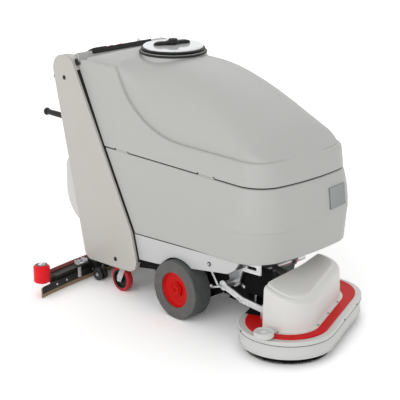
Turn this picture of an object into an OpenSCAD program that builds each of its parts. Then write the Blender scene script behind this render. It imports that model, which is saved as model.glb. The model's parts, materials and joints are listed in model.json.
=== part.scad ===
// Walk-behind scrubber dryer, all sizes in millimetres.
// +X is the way it drives, +Y its left side, +Z up, and the floor is z = 0.
// Sizes along X are given from the drive axle; the finished part is moved so that
// the middle of its length lies on the origin.

/* [Body] */
// Half width of the tanks at the parting line
body_half_w = 270; // [240:1:300]
// Front face of the tanks, ahead of the drive axle
body_front = 457; // [420:1:500]
// Radius of the upright front corners
body_corner = 120; // [90:1:150]
// Half angle of the shallow bow across the front, in degrees
bow_angle = 9; // [6:0.5:14]
// Height of the joint between the two tanks
parting_z = 625; // [560:1:660]
// Height of the lower edge of the body above the axle
floor_z = 305; // [290:1:320]
// Rise of the lower edge towards the front, in degrees
floor_tilt = 3.2; // [0:0.1:5]
// Height of the crease round the front of the lower tank
crease_z = 455; // [400:1:520]
// How far the crease stands out past the parting line
crease_out = 24; // [10:1:30]
// Gap between the two tanks and between tanks and columns
body_gap = 6; // [3:1:10]
// Radial clearance of seats that stay put
seat = 0.2; // [0.1:0.05:0.4]
// Radial clearance of running fits
run_fit = 0.06; // [0.03:0.01:0.1]

/* [Recovery tank] */
// Height of the ledge round the front of the upper tank
ledge_z = 716; // [690:1:740]
// Height of the crown of the dome
dome_z = 1000; // [960:1:1020]
// Fall of the dome from its crown to its nose
dome_drop = 223; // [160:1:240]
// Squareness of the dome's cross-section
dome_power = 2.5; // [2:0.1:4]
// Length of the sweep where the ledge climbs to the top
sweep_len = 386; // [300:1:420]
// How far the wall under the ledge leans in
band_lean = 9; // [4:1:14]
// Width of the ledge in front of the dome
ledge_w = 18; // [14:1:30]

/* [Lid] */
// Centre of the lid behind the drive axle
lid_x = -316; // [-340:1:-290]
// Radius of the clear lid
lid_r = 124; // [105:1:130]
// Height of the lid's upper face
lid_z = 1033; // [1028:1:1045]
// Thickness of the clear lid
lid_t = 9; // [5:0.5:12]

/* [Columns] */
// How far the side columns stand out past the tanks
column_out = 15; // [5:1:40]
// Depth of a column towards the inside
column_depth = 40; // [30:1:50]
// Wall of a column
column_wall = 7; // [4:0.5:10]
// Rounding of the columns' outer edges
column_round = 14; // [6:1:16]

/* [Drive wheels] */
// Radius of the drive wheels
wheel_r = 122; // [110:1:130]
// Width of a drive tyre
wheel_w = 89; // [70:1:95]
// Outer face of a drive wheel from the middle
wheel_out = 296; // [290:1:310]
// Radius of the red hub
hub_r = 74; // [60:1:85]
// Radius of the drive shaft
shaft_r = 12; // [8:0.5:16]

/* [Castors] */
// Radius of the rear castors
castor_r = 54; // [45:1:56]
// Width of a castor wheel
castor_w = 30; // [22:1:34]
// Castor swivel from the drive axle
castor_x = -340; // [-360:1:-320]
// Castor swivel, in from the outer faces of the columns
castor_in = 39; // [35:1:55]
// Trail of the castor wheel behind its swivel
castor_trail = 35; // [25:1:40]

/* [Brush deck] */
// Turn of the deck, which puts the right brush ahead
deck_turn = 23; // [10:1:30]
// Right brush, ahead of the drive axle
brush_x = 497; // [480:1:520]
// Right brush, to the side
brush_y = -170; // [-185:1:-150]
// Distance between the two brushes
brush_gap = 338; // [330:1:360]
// Clearance between a brush and the outside of the skirt
brush_clear = 26; // [20:1:45]
// Outer radius of the splash skirt
skirt_r = 186; // [180:1:195]
// Upper face of the skirt
skirt_top = 100; // [90:1:110]
// Lower edge of the skirt
skirt_low = 30; // [20:1:40]
// Free length of the bristles
bristle_len = 29; // [20:1:32]
// Strands in the outer ring of a brush
bristle_count = 80; // [40:2:90]
// Radius of the base of the motor cover
cover_r = 118; // [110:1:125]
// Roof of the motor cover above the right brush
cover_roof = 257; // [252:1:270]
// Reach of the motor cover past the right brush
cover_reach = 280; // [276:1:290]

/* [Deck linkage] */
// Pivot of the lift arms ahead of the axle
arm_x = 216; // [200:1:230]
// Height of the lift arms' pivot
arm_z = 188; // [180:1:195]
// Pivot of the deck on the arms
arm_front_x = 430; // [415:1:440]
// Height of the deck pivot
arm_front_z = 149; // [145:1:155]
// Radius of the arms' cross tube
arm_tube_r = 14; // [11:0.5:16]
// Right and left arm from the middle
arm_y = 232; // [226:1:238]
// Place of the left deck arm, behind the motor cover
arm_left = 60; // [50:1:70]

/* [Squeegee] */
// Half length of the blades
blade_half = 552; // [500:1:565]
// Front blade behind the axle, in the middle
blade_x = -606; // [-615:1:-600]
// Radius of the curve of the blades
blade_curve = 2400; // [1800:10:3200]
// Height of the front blade
blade_h = 50; // [40:1:50]
// Thickness of a blade
blade_t = 5; // [3:0.5:7]
// Radius of the red end rollers
roller_r = 35; // [28:1:38]

/* [Controls] */
// Rear end of the lift lever
lever_end = -890; // [-920:1:-870]
// Height of the lift lever
lever_z = 690; // [670:1:700]
// Radius of the lever's grip
grip_r = 14; // [11:0.5:16]
// Half width of the control panel
panel_half_w = 165; // [140:1:200]
// Tilt of the control panel
panel_tilt = 22; // [15:1:28]

/* [Shown] */
// Sub-part to build, or all

/* [Hidden] */
$fn = 64;
eps = 0.01;
big = 3000;
// Colours
grey = [0.74, 0.745, 0.73];
column_grey = [0.765, 0.75, 0.727];
pale = [0.82, 0.825, 0.815];
black = [0.08, 0.08, 0.075];
dark = [0.2, 0.21, 0.21];
steel = [0.72, 0.73, 0.74];
red = [0.85, 0.13, 0.11];
rubber = [0.3, 0.31, 0.31];
tan_blade = [0.62, 0.47, 0.32];

// Column front edge: foot and top of a straight line, at the height z
col_foot = [-273, 297];
col_top = [-637, 976];
col_slope = (col_top[0] - col_foot[0]) / (col_top[1] - col_foot[1]);
col_lean = atan(-col_slope);
function col_front(z) = col_foot[0] + col_slope * (z - col_foot[1]);
// Column outline: x, z and the radius of each corner
column_outline = [[-570, 106, 38], [-400, 112, 200], [-228, 124, 55],
    [col_foot[0], col_foot[1], 120], [col_top[0], col_top[1], 58], [-773, col_top[1], 66]];
column_half_w = body_half_w + column_out;
column_in = column_half_w - column_depth;
column_face = column_half_w - column_wall;
castor_y = column_half_w - castor_in;
column_bolt = [-373, 152];

// Tank hinge, at the top of the gap behind the recovery tank
hinge_x = -604;
hinge_z = 948;
hinge_pin_r = 7;
hinge_in = 2;
hinge_y = column_in - hinge_in;
hinge_t = 10;

// Second brush and the deck's local frame
left_brush = [brush_x - sin(deck_turn) * brush_gap, brush_y + cos(deck_turn) * brush_gap];
brush_r = skirt_r - brush_clear;
pan_r = skirt_r - 12;
pan_z = skirt_top - 20;
pan_t = 12;
plate_r = skirt_r - 25;
plate_t = 6;
plate_top = skirt_top + plate_t;
brush_shaft_r = 12;
brush_top = skirt_low + 26;
motor_r = 43;
motor_h = 112;
deck_roller_r = 38;

// Upper link, the same length and lean as the arms
link_dx = -20;
link_dz = 50;
link_y = -8;
link_pin_r = 8;
arm_vec = [arm_front_x - arm_x, arm_front_z - arm_z];
arm_t = 6;

// Squeegee
sq_hinge = [-420, 170];
sq_pin_r = 9;
sq_body_low = 44;
sq_body_t = 40;
sq_wheel_r = 27;
sq_wheel_x = -538;
sq_wheel_y = 222;
roller_in = 40;
sq_roller_y = blade_half - roller_in;
sq_roller_z = 52;
sq_roller_h = 76;
blade_pitch = 52;

// Bail and handle
bail = [-681, 881];
bail_bar = [-775, 870];
bail_pin_r = 7;
bail_in = 13;
bail_y = column_in - bail_in;
handle = [-725, 903];
handle_r = 14;
panel_x = -634;
panel_z = 994;
panel_depth = 68;
panel_t = 20;
lever_x = -668;
lever_in = 16;
lever_y = lever_in - column_in;
lever_pin_r = 8;

function unit(v) = v / norm(v);
function turned(a, b) = let (d = b - a) d > 180 ? d - 360 : d < -180 ? d + 360 : d;
function fillet(p, q, s, r, n) = let (a = unit(p - q), b = unit(s - q), h = acos(a * b) / 2,
    c = q + unit(a + b) * r / sin(h), t = q + a * r / tan(h), u = q + b * r / tan(h),
    a0 = atan2(t[1] - c[1], t[0] - c[0]), a1 = atan2(u[1] - c[1], u[0] - c[0]))
    [for (i = [0:n]) c + r * [cos(a0 + turned(a0, a1) * i / n), sin(a0 + turned(a0, a1) * i / n)]];
function flat(v) = [v[0], v[1]];
function rounded(v, n = 6) = let (m = len(v)) [for (i = [0:m - 1])
    each fillet(flat(v[(i + m - 1) % m]), flat(v[i]), flat(v[(i + 1) % m]), v[i][2], n)];
// Outline moved inwards by d, for outlines that run anticlockwise
function inset(p, d) = let (m = len(p)) [for (i = [0:m - 1]) let (a = unit(p[i] - p[(i + m - 1) % m]),
    b = unit(p[(i + 1) % m] - p[i]), k = unit([-a[1] - b[1], a[0] + b[0]])) p[i] + k * d];
// Rounded slot outline round two centres
function slot(a, b, r, n = 16) = let (t = atan2(b[1] - a[1], b[0] - a[0]))
    concat([for (i = [0:n]) b + r * [cos(t - 90 + 180 * i / n), sin(t - 90 + 180 * i / n)]],
           [for (i = [0:n]) a + r * [cos(t + 90 + 180 * i / n), sin(t + 90 + 180 * i / n)]]);

module loft(rings) {
    n = len(rings[0]);
    m = len(rings);
    sides = [for (j = [0:m - 2]) for (i = [0:n - 1])
        let (a = j * n + i, b = j * n + (i + 1) % n) each [[a, a + n, b], [b, a + n, b + n]]];
    low = [for (i = [0:n - 1]) i];
    high = [for (i = [n - 1:-1:0]) (m - 1) * n + i];
    polyhedron(points = [for (r = rings) each r], faces = concat([low], [high], sides));
}
// Profile drawn in X and Z, extruded between two places along Y
module along_y(y0, y1) {
    translate([0, y1, 0]) rotate([90, 0, 0]) linear_extrude(y1 - y0) children();
}
module rod_y(x, z, r, y0, y1) {
    translate([x, y1, z]) rotate([90, 0, 0]) cylinder(r = r, h = y1 - y0);
}
module both_sides() {
    children();
    mirror([0, 1, 0]) children();
}
// Frame of the sloping underside of the body
module on_floor() {
    translate([0, 0, floor_z]) rotate([0, -floor_tilt, 0]) children();
}
module on_panel() {
    translate([panel_x, 0, panel_z]) rotate([0, -panel_tilt, 0]) children();
}
// All that lies behind the columns' front edge, moved forward by d
module behind_columns(d) {
    translate([col_foot[0] + d, -big / 2, col_foot[1]]) rotate([0, -col_lean, 0])
        translate([-big, 0, -big / 2]) cube([big, big, big]);
}
module below_floor() {
    on_floor() translate([-big / 2, -big / 2, -big]) cube([big, big, big]);
}
module oblong(a, b, r, z0, z1) {
    translate([0, 0, z0]) linear_extrude(z1 - z0) polygon(slot(a, b, r, deck_steps));
}
deck_steps = 32;
right_brush = [brush_x, brush_y];
// The finished part is centred along X between the lever and the deck
deck_front = max([for (q = slot(right_brush, left_brush, skirt_r, deck_steps)) q[0]]);
x_shift = -(lever_end + deck_front) / 2;

// Chassis: two rails, cross members and the hangers of the drive axle
rail_x = -500;
rail_len = 820;
rail_y = 160;
rail_w = 30;
rail_h = 34;
cross_w = 30;
cross_x = [-205, 150, rail_x + rail_len - cross_w];
rear_cross_w = 40;
plate_in = body_half_w - 8;
hanger_x = 34;
axle_tube_r = 30;
module chassis_frame() {
    color(dark) difference() {
        union() {
            on_floor() {
                both_sides() translate([rail_x, rail_y, -rail_h]) cube([rail_len, rail_w, rail_h]);
                for (x = cross_x)
                    translate([x, -plate_in, -rail_h]) cube([cross_w, 2 * plate_in, rail_h]);
                translate([rail_x, -column_face, -rail_h]) cube([rear_cross_w, 2 * column_face, rail_h]);
            }
            both_sides() translate([-hanger_x, rail_y, wheel_r - axle_tube_r - 10])
                cube([2 * hanger_x, 10, floor_z - wheel_r - rail_h / 2 + axle_tube_r + 10]);
        }
        both_sides() rod_y(0, wheel_r, axle_tube_r + seat, rail_y - 5, rail_y + 15);
        translate([-hanger_x - 5, -big / 2, floor_z + 2]) cube([2 * hanger_x + 10, big, big]);
    }
}
// Side plates with the arch over the drive wheel
arch_r = wheel_r + 17;
plate_bolt = [174, 275];
bolt_r = 5;
module chassis_plates() {
    top = function (x) floor_z - seat + tan(floor_tilt) * x;
    color(pale) both_sides() difference() {
        along_y(plate_in, body_half_w) difference() {
            polygon([[-292, top(-292)], [-250, 181], [-169, 189], [-arch_r, 186], [-arch_r, wheel_r],
                [arch_r, wheel_r], [arch_r - 50, 246], [244, 252], [292, 269], [338, top(338)]]);
            translate([0, wheel_r]) circle(arch_r);
            translate(plate_bolt) circle(bolt_r);
        }
        behind_columns(body_gap);
    }
}
// Plan outline of the tanks: straight sides, round corners and a shallow bow across the front
corner_y = body_half_w - body_corner;
bow_y = corner_y + body_corner * sin(bow_angle);
bow_r = bow_y / sin(bow_angle);
bow_x = body_front - bow_r;
front_f = bow_x + (bow_r - body_corner) * cos(bow_angle);
// Outwards direction and place of one point of the right or left side, ahead of its corner
function corner_dir(a, side) = [sin(a), side * cos(a)];
function corner_at(a, side) = [front_f, side * corner_y] + body_corner * corner_dir(a, side);
// Lower tank: outline of one level, pushed out towards the front by g
function swell(x) = let (u = max(0, min(1, x / 350))) u * u * (3 - 2 * u);
function flank(side, g) = concat([[-700, side * body_half_w]],
    [for (i = [0:6]) let (x = front_f * i / 7) [x, side * (body_half_w + g * swell(x))]],
    [for (i = [0:8]) let (a = (90 - bow_angle) * i / 8, q = corner_at(a, side)) q + g * swell(q[0])
        * corner_dir(a, side)],
    [for (i = [1:4]) let (a = bow_angle * (1 - i / 4.5)) [bow_x, 0] + (bow_r + g)
        * [cos(a), side * sin(a)]]);
function plan(g, z) = let (p = flank(-1, g), q = flank(1, g), n = len(q) - 1)
    [for (v = concat(p, [for (i = [n:-1:0]) q[i]])) [v[0], v[1], z]];
well_x = [-150, 330];
well_half = 188;
well_z = 352;
lower_top = parting_z - body_gap / 2;
module solution_tank() {
    color(grey) difference() {
        loft([plan(crease_out * 0.33, 270), plan(crease_out * 0.42, floor_z),
            plan(crease_out - 2, crease_z - 3),
            plan(crease_out, crease_z), for (t = [0.25, 0.45, 0.6, 0.74, 0.85, 0.93])
                plan(crease_out * (1 - pow(t, 2.2)), crease_z + t * (lower_top - crease_z)),
            plan(0, lower_top - 4), plan(-4, lower_top)]);
        below_floor();
        behind_columns(body_gap);
        translate([well_x[0], -well_half, well_z])
            cube([well_x[1] - well_x[0], 2 * well_half, big]);
    }
}
// Four monobloc batteries in the well, with their terminals
battery = [232, 180, 224];
module battery_pack() {
    color(dark) for (i = [0, 1], j = [-1, 0])
        translate([well_x[0] + 4 + i * (battery[0] + 8), j * (battery[1] + 4) + 2, well_z]) {
            cube(battery);
            for (t = [40, battery[0] - 40])
                translate([t, battery[1] / 2, battery[2] - eps]) cylinder(r = 9, h = 14);
        }
}
// Side columns: pressed shells with rounded outer edges, open to the inside
module column_pin(at, r) {
    rod_y(at[0], at[1], r + 6, column_in, column_half_w - column_wall + eps);
    rod_y(at[0], at[1], r, column_in - 24, column_in + 1);
}
module column_shell() {
    p = rounded(column_outline, 7);
    steps = 4;
    rings = concat([[for (q = p) [q[0], column_in, q[1]]]],
        [for (i = [0:steps]) let (a = 90 * i / steps, s = inset(p, column_round * (1 - cos(a))))
            [for (q = s) [q[0], column_half_w - column_round + column_round * sin(a), q[1]]]]);
    difference() {
        loft([for (i = [len(rings) - 1:-1:0]) rings[i]]);
        along_y(column_in - 1, column_half_w - column_wall) polygon(inset(p, column_wall + 5));
        translate([castor_x - 70, column_in - 1, 0]) cube([104, column_depth - column_wall + 1, 190]);
        rod_y(bail[0], bail[1], bolt_r, column_half_w - column_wall, column_half_w + 1);
        rod_y(column_bolt[0], column_bolt[1], bolt_r, column_half_w - column_wall, column_half_w + 1);
    }
    column_pin(bail, bail_pin_r);
}
module columns() {
    color(column_grey) {
        both_sides() column_shell();
        mirror([0, 1, 0]) column_pin([lever_x, lever_z], lever_pin_r);
    }
}
// Console between the columns, with the recess for the control panel
console_low = 800;
console_rear = -660;
module rear_console() {
    color(column_grey) difference() {
        along_y(-column_in, column_in) polygon([[col_front(console_low), console_low],
            [col_front(960), 960], [panel_x - 4, panel_z - 8],
            [panel_x - 4 - cos(panel_tilt) * (panel_depth + 4), panel_z - 8 - sin(panel_tilt)
                * (panel_depth + 4)],
            [console_rear - 30, 944], [console_rear, 930], [console_rear, console_low]]);
        along_y(-column_in + 8, column_in - 8) polygon([[col_front(console_low) - 9, console_low - 1],
            [col_front(920) - 9, 920], [console_rear + 6, 920], [console_rear + 6, console_low - 1]]);
        on_panel() translate([-panel_depth - 2, -panel_half_w - seat, -panel_t])
            cube([big, 2 * (panel_half_w + seat), big]);
    }
}
// Black panel in the recess, with the holes of the key and the buttons
key_at = [-34, 120];
button_at = [[-34, -40], [-34, 10]];
button_r = 11;
key_r = 12;
module control_panel() {
    color(black) on_panel() difference() {
        union() {
            translate([-panel_depth - 2, -panel_half_w, -panel_t])
                cube([panel_depth, 2 * panel_half_w, panel_t]);
            translate([key_at[0], key_at[1], -1]) cylinder(r = key_r + 7, h = 4);
            translate([-54, -148, -1]) cube([40, 70, 3]);
        }
        translate([key_at[0], key_at[1], -12]) cylinder(r = key_r + run_fit, h = 40);
        for (b = button_at) translate([b[0], b[1], -12]) cylinder(r = button_r + 0.3, h = 40);
    }
}
// Cross tube that the operator holds, with two sleeves
module handle_bar() {
    color(black) {
        rod_y(handle[0], handle[1], handle_r - 3, -column_half_w + column_wall,
            column_half_w - column_wall);
        both_sides() difference() {
            rod_y(handle[0], handle[1], handle_r, 40, column_in - 30);
            rod_y(handle[0], handle[1], handle_r - 3 + seat, 30, column_in);
        }
    }
}
// Rear cover, a shell bulging behind the columns
cover_half = column_in;
cover_wall = 5;
rear_profile = [[-600, 238, 8], [-742, 246, 140], [-739, 505, 40], [-668, 545, 30], [-676, 628, 8],
    [-640, 628, 8]];
module rear_cover() {
    p = rounded([for (i = [len(rear_profile) - 1:-1:0]) rear_profile[i]], 8);
    color(pale) difference() {
        along_y(-cover_half, cover_half) polygon(p);
        along_y(-cover_half + cover_wall, cover_half - cover_wall) polygon(inset(p, cover_wall));
        translate([-625, -big / 2, 0]) cube([big, big, big]);
    }
}
// Drive axle casing with its differential bulge and two bored ends
module transaxle() {
    color(dark) difference() {
        union() {
            rod_y(0, wheel_r, axle_tube_r, -190, 190);
            rod_y(0, wheel_r, 58, -48, 48);
            translate([-95, -38, wheel_r - 34]) cube([95, 76, 68]);
        }
        both_sides() rod_y(0, wheel_r, shaft_r + run_fit, 100, 200);
    }
}
drive_motor_r = 46;
module drive_motor() {
    color(black) translate([-95, 0, wheel_r]) rotate([0, -90, 0]) {
        cylinder(r = drive_motor_r, h = 150);
        translate([0, 0, 150 - eps]) cylinder(r = drive_motor_r - 10, h = 18);
    }
}
// Suction motor on its shelf behind the lower tank
vac_x = -520;
vac_r = 72;
vac_z = 300;
vac_h = 90;
vac_cap_h = 70;
shelf_half = 80;
shelf_t = 10;
foot_w = 12;
module vacuum_motor() {
    color(black) {
        translate([vac_x, 0, vac_z]) cylinder(r = vac_r, h = vac_h);
        translate([vac_x, 0, vac_z + vac_h - eps]) cylinder(r = vac_r - 20, h = vac_cap_h);
        on_floor() translate([rail_x, -rail_y - rail_w, 0]) cube([rear_cross_w, 2 * (rail_y + rail_w), 6]);
        translate([vac_x - shelf_half, -shelf_half, vac_z - shelf_t])
            cube([2 * shelf_half, 2 * shelf_half, shelf_t]);
        for (y = [-shelf_half, shelf_half - foot_w])
            translate([rail_x + 8, y, vac_z - shelf_t - 7]) cube([24, foot_w, 8]);
    }
}
// Bolt heads on the columns and side plates
bolt_head_r = 9;
bolt_head_h = 5;
module bolt(x, z, face) {
    rod_y(x, z, bolt_head_r, face, face + bolt_head_h);
    rod_y(x, z, bolt_r - seat, face - 6, face + 1);
}
module side_bolts() {
    color(steel) both_sides() {
        bolt(bail[0], bail[1], column_half_w);
        bolt(column_bolt[0], column_bolt[1], column_half_w);
        bolt(plate_bolt[0], plate_bolt[1], body_half_w);
    }
}
// Ears on the console that carry the recovery tank
module tank_hinge_brackets() {
    color(black) both_sides() difference() {
        along_y(hinge_y - hinge_t, hinge_y + hinge_in) difference() {
            union() {
                translate([hinge_x, hinge_z]) circle(13);
                polygon([[hinge_x, hinge_z + 13], [hinge_x - 60, hinge_z - 2], [hinge_x - 60, hinge_z - 20],
                    [hinge_x, hinge_z - 13]]);
            }
            translate([hinge_x, hinge_z]) circle(hinge_pin_r + run_fit);
        }
        behind_columns(0);
    }
}
// Brackets under the rails that carry the deck arms and the upper link
module deck_brackets() {
    top = floor_z - rail_h + tan(floor_tilt) * arm_x;
    color(steel) {
        slotted_bracket();
        both_sides() difference() {
            along_y(rail_y, rail_y + 12) difference() {
                polygon([[arm_x - 60, top - 3.4], [arm_x - 20, arm_z - 12], [arm_x, arm_z - 22],
                    [arm_x + 20, arm_z - 12],
                    [arm_x + 60, top + 3.3]]);
                translate([arm_x, arm_z]) circle(arm_tube_r + run_fit);
            }
            on_floor() translate([-big / 2, -big / 2, -rail_h]) cube([big, big, big]);
        }
        difference() {
            along_y(link_y + 8, link_y + 18) difference() {
                translate([arm_x + link_dx - 26, arm_z + link_dz - 16]) square([52, 80]);
                translate([arm_x + link_dx, arm_z + link_dz]) circle(link_pin_r + run_fit);
            }
            on_floor() translate([-big / 2, -big / 2, 0]) cube([big, big, big]);
            for (x = cross_x) on_floor() translate([x - 1, -big / 2, -rail_h]) cube([cross_w + 2, big, big]);
        }
    }
}
// Slotted bracket under the right front of the body
bracket_x = rail_x + rail_len;
bracket_len = 90;
bracket_h = 46;
bracket_y = 226;
slot_r = 6;
slot_in = 25;
slot_drop = 24;
module slotted_bracket() {
    mirror([0, 1, 0]) on_floor() translate([bracket_x, 0, 0]) {
        difference() {
            translate([0, bracket_y, -bracket_h]) cube([bracket_len, 8, bracket_h]);
            for (x = [slot_in, bracket_len - slot_in])
                translate([x, bracket_y - 6, -slot_drop]) rotate([-90, 0, 0]) cylinder(r = slot_r, h = 20);
            translate([slot_in, bracket_y - 6, -slot_drop - slot_r])
                cube([bracket_len - 2 * slot_in, 20, 2 * slot_r]);
        }
        translate([0, rail_y + rail_w, -6]) cube([bracket_len, bracket_y - rail_y - rail_w, 6]);
    }
}
// Castor mounts: a plate under each rail and a bored swivel head
castor_plate_z = 150;
castor_stem_r = 10;
castor_plate_half = 40;
module castor_brackets() {
    top = floor_z - rail_h + tan(floor_tilt) * castor_x;
    color(dark) both_sides() difference() {
        union() {
            translate([castor_x, castor_y, castor_plate_z - 14]) cylinder(r = 26, h = 24);
            translate([castor_x - castor_plate_half, rail_y, castor_plate_z])
                cube([2 * castor_plate_half, castor_y - rail_y + 20, 10]);
            translate([castor_x - castor_plate_half, rail_y + 8, castor_plate_z])
                cube([2 * castor_plate_half, 12, top + 20 - castor_plate_z]);
        }
        translate([castor_x, castor_y, 0]) cylinder(r = castor_stem_r + run_fit, h = big);
        on_floor() translate([-big / 2, -big / 2, -rail_h]) cube([big, big, big]);
    }
}
// Fork that carries the squeegee arm, under the rear cross member
module squeegee_hinge() {
    color(steel) for (y = [-62, 52]) difference() {
        along_y(y, y + 10) difference() {
            polygon([[sq_hinge[0] - 60, 300], [sq_hinge[0] - 18, sq_hinge[1] - 18],
                [sq_hinge[0] + 18, sq_hinge[1] - 18],
                [sq_hinge[0] + 22, 300]]);
            translate(sq_hinge) circle(sq_pin_r + run_fit);
        }
        on_floor() translate([-big / 2, -big / 2, -rail_h]) cube([big, big, big]);
    }
}

// Drive wheels
tyre_round = 6;
module tyre(side) {
    color(rubber) translate([0, side * (wheel_out - wheel_w / 2), wheel_r]) rotate([90, 0, 0])
        rotate_extrude() {
            translate([hub_r + seat, -wheel_w / 2]) square([wheel_r - tyre_round - hub_r - seat, wheel_w]);
            translate([hub_r + seat, -wheel_w / 2 + tyre_round])
                square([wheel_r - hub_r - seat, wheel_w - 2 * tyre_round]);
            for (s = [-1, 1]) translate([wheel_r - tyre_round, s * (wheel_w / 2 - tyre_round)])
                circle(tyre_round);
        }
}
module hub(side) {
    rim = wheel_w / 2 - 6;
    color(red) translate([0, side * (wheel_out - wheel_w / 2), wheel_r]) rotate([side * 90, 0, 0])
        mirror([0, 0, 1]) {
        rotate_extrude() difference() {
            translate([0, -rim]) square([hub_r, 2 * rim]);
            polygon([[20, rim + 1], [22, rim - 11], [hub_r - 9, rim - 7], [hub_r - 5, rim + 1]]);
            polygon([[36, -rim - 1], [42, -rim + 30], [60, -rim + 30], [64, -rim - 1]]);
            translate([-1, rim - 14]) square([11, 20]);
        }
        translate([0, 0, -rim - 88]) cylinder(r = shaft_r, h = 90);
    }
}
module tyre_right() { tyre(-1); }
module tyre_left() { tyre(1); }
module hub_right() { hub(-1); }
module hub_left() { hub(1); }

// Castors: fork with its stem, wheel core and soft tread
castor_pin_r = 6;
castor_axle_x = castor_x - castor_trail;
module castor_fork(side) {
    crown = castor_plate_z - 14 - 1;
    leg = castor_w / 2 + 3;
    color(steel) translate([0, side * castor_y, 0]) {
        translate([castor_x, 0, crown - 8]) cylinder(r = 25, h = 8);
        translate([castor_x, 0, crown - 1]) cylinder(r = castor_stem_r, h = 32);
        for (s = [-1, 1]) along_y(s > 0 ? leg : -leg - 4, s > 0 ? leg + 4 : -leg)
            polygon([[castor_axle_x - 12, castor_r - 8], [castor_axle_x + 10, castor_r - 10],
                [castor_x + 14, crown - 8], [castor_x - 14, crown - 8],
                    [castor_axle_x - 12, castor_r + 10]]);
        for (s = [-1, 1]) translate([castor_x - 14, s > 0 ? 12 : -leg - 4, crown - 9])
            cube([28, leg + 4 - 12, 4]);
        rod_y(castor_axle_x, castor_r, castor_pin_r, -leg - 3, leg + 3);
    }
}
module castor_tread(side) {
    color(red) translate([castor_axle_x, side * castor_y, castor_r]) rotate([90, 0, 0]) rotate_extrude()
        polygon([[castor_r - 12, -castor_w / 2], [castor_r - 4, -castor_w / 2],
            [castor_r, -castor_w / 2 + 5],
            [castor_r, castor_w / 2 - 5], [castor_r - 4, castor_w / 2], [castor_r - 12, castor_w / 2]]);
}
module castor_core(side) {
    rim = castor_r - 12 - seat;
    color(black) translate([castor_axle_x, side * castor_y, castor_r]) rotate([90, 0, 0]) rotate_extrude()
        polygon([[castor_pin_r + run_fit, -castor_w / 2 - 1], [16, -castor_w / 2 - 1], [18, -6],
            [rim - 8, -6],
            [rim - 6, -castor_w / 2], [rim, -castor_w / 2], [rim, castor_w / 2],
                [rim - 6, castor_w / 2], [rim - 8, 6],
            [18, 6], [16, castor_w / 2 + 1], [castor_pin_r + run_fit, castor_w / 2 + 1]]);
}
module castor_fork_right() { castor_fork(-1); }
module castor_fork_left() { castor_fork(1); }
module castor_tread_right() { castor_tread(-1); }
module castor_tread_left() { castor_tread(1); }
module castor_core_right() { castor_core(-1); }
module castor_core_left() { castor_core(1); }

// Recovery tank: one ring of points across the machine for each place x
upper_low = parting_z + body_gap / 2;
nose_x = 335;
crown_x = -150;
rear_ledge = 966;
tank_tail = -660;
// Half width of the plan outline moved in by d
function half_w(x, d = 0) = x <= front_f ? body_half_w - d :
    x <= front_f + (body_corner - d) * cos(bow_angle) ?
        corner_y + sqrt(max(0, pow(body_corner - d, 2) - pow(x - front_f, 2))) :
    sqrt(max(0, pow(bow_r - d, 2) - pow(x - bow_x, 2)));
// The ledge climbs in a quarter ellipse and rounds over to the level top behind it
sweep_top = rear_ledge + 60;
function eased_min(a, b, k) = let (h = max(0, min(1, 0.5 + (b - a) / (2 * k)))) b * (1 - h)
    + a * h - k * h * (1 - h);
function sweep(x) = x >= 0 ? ledge_z : x <= -sweep_len ? sweep_top :
    sweep_top - (sweep_top - ledge_z) * sqrt(1 - pow(x / sweep_len, 2));
function ledge(x) = eased_min(sweep(x), rear_ledge, 45);
function crown(x) = dome_z - (x > crown_x ? dome_drop * pow((x - crown_x) / 520, 1.75) : 0)
    - (x < -450 ? 28 * pow((x + 450) / 150, 2) : 0);
dome_tip = body_front - band_lean - ledge_w;
function nose(x) = x < nose_x ? 1 : pow(max(0,
    1 - pow(min(1, (x - nose_x) / (dome_tip - nose_x)), 2.2)), 1 / 2.2);
// Wall under the ledge: its height where it has leaned in by d, under a ledge at the height top
rim = 9;
lean_end = band_lean + rim;
lean_levels = [for (i = [0:8]) lean_end * i / 8];
function lean_z(d, top) = lookup(d,
    [[0, upper_low], [band_lean * 0.95, top - 12], [band_lean + 2.5, top - 5],
    [band_lean + 5, top - 1.5], [lean_end, top]]);
// Ahead of the ledge's tip a ring ends lower down, so its levels are drawn closer together
function across(x) = let (room = min(1, 0.96 * (body_front - x) / lean_end),
    top = min(ledge(x), crown(x) - 8),
    side = [for (d = lean_levels) [half_w(x, d * room), lean_z(d * room, top)]], n = len(side) - 1,
    c = side[n][1], foot = max(half_w(x, band_lean + ledge_w), 0.6 * side[n][0]), k = 2 / dome_power,
    h = x < dome_tip ? max(2, crown(x) - c) * nose(x) : 0,
    arch = [for (i = [0:20]) let (a = i * 9)
        [foot * sign(cos(a)) * pow(abs(cos(a)), k), c + h * pow(sin(a), k)]])
    [for (q = concat(side, arch, [for (i = [n:-1:0]) [-side[i][0], side[i][1]]])) [x, q[0], q[1]]];
corner_len = body_corner * cos(bow_angle);
corner_end = front_f + corner_len;
stations = concat([tank_tail, -600, -540, -480, -430], [for (a = [0:9:90]) -sweep_len * cos(a)],
    [for (i = [1:5]) front_f * i / 5], [for (i = [1:9]) front_f + corner_len * sin(10 * i)],
    [for (i = [1:7]) corner_end + (body_front - 1 - corner_end) * i / 7]);
neck_in = lid_r - 12;
neck_out = lid_r + 7;
neck_low = 955;
gasket_t = 10;
lid_low = lid_z - lid_t;
neck_top = lid_low - gasket_t - 0.3;
pocket = 3;
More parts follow.
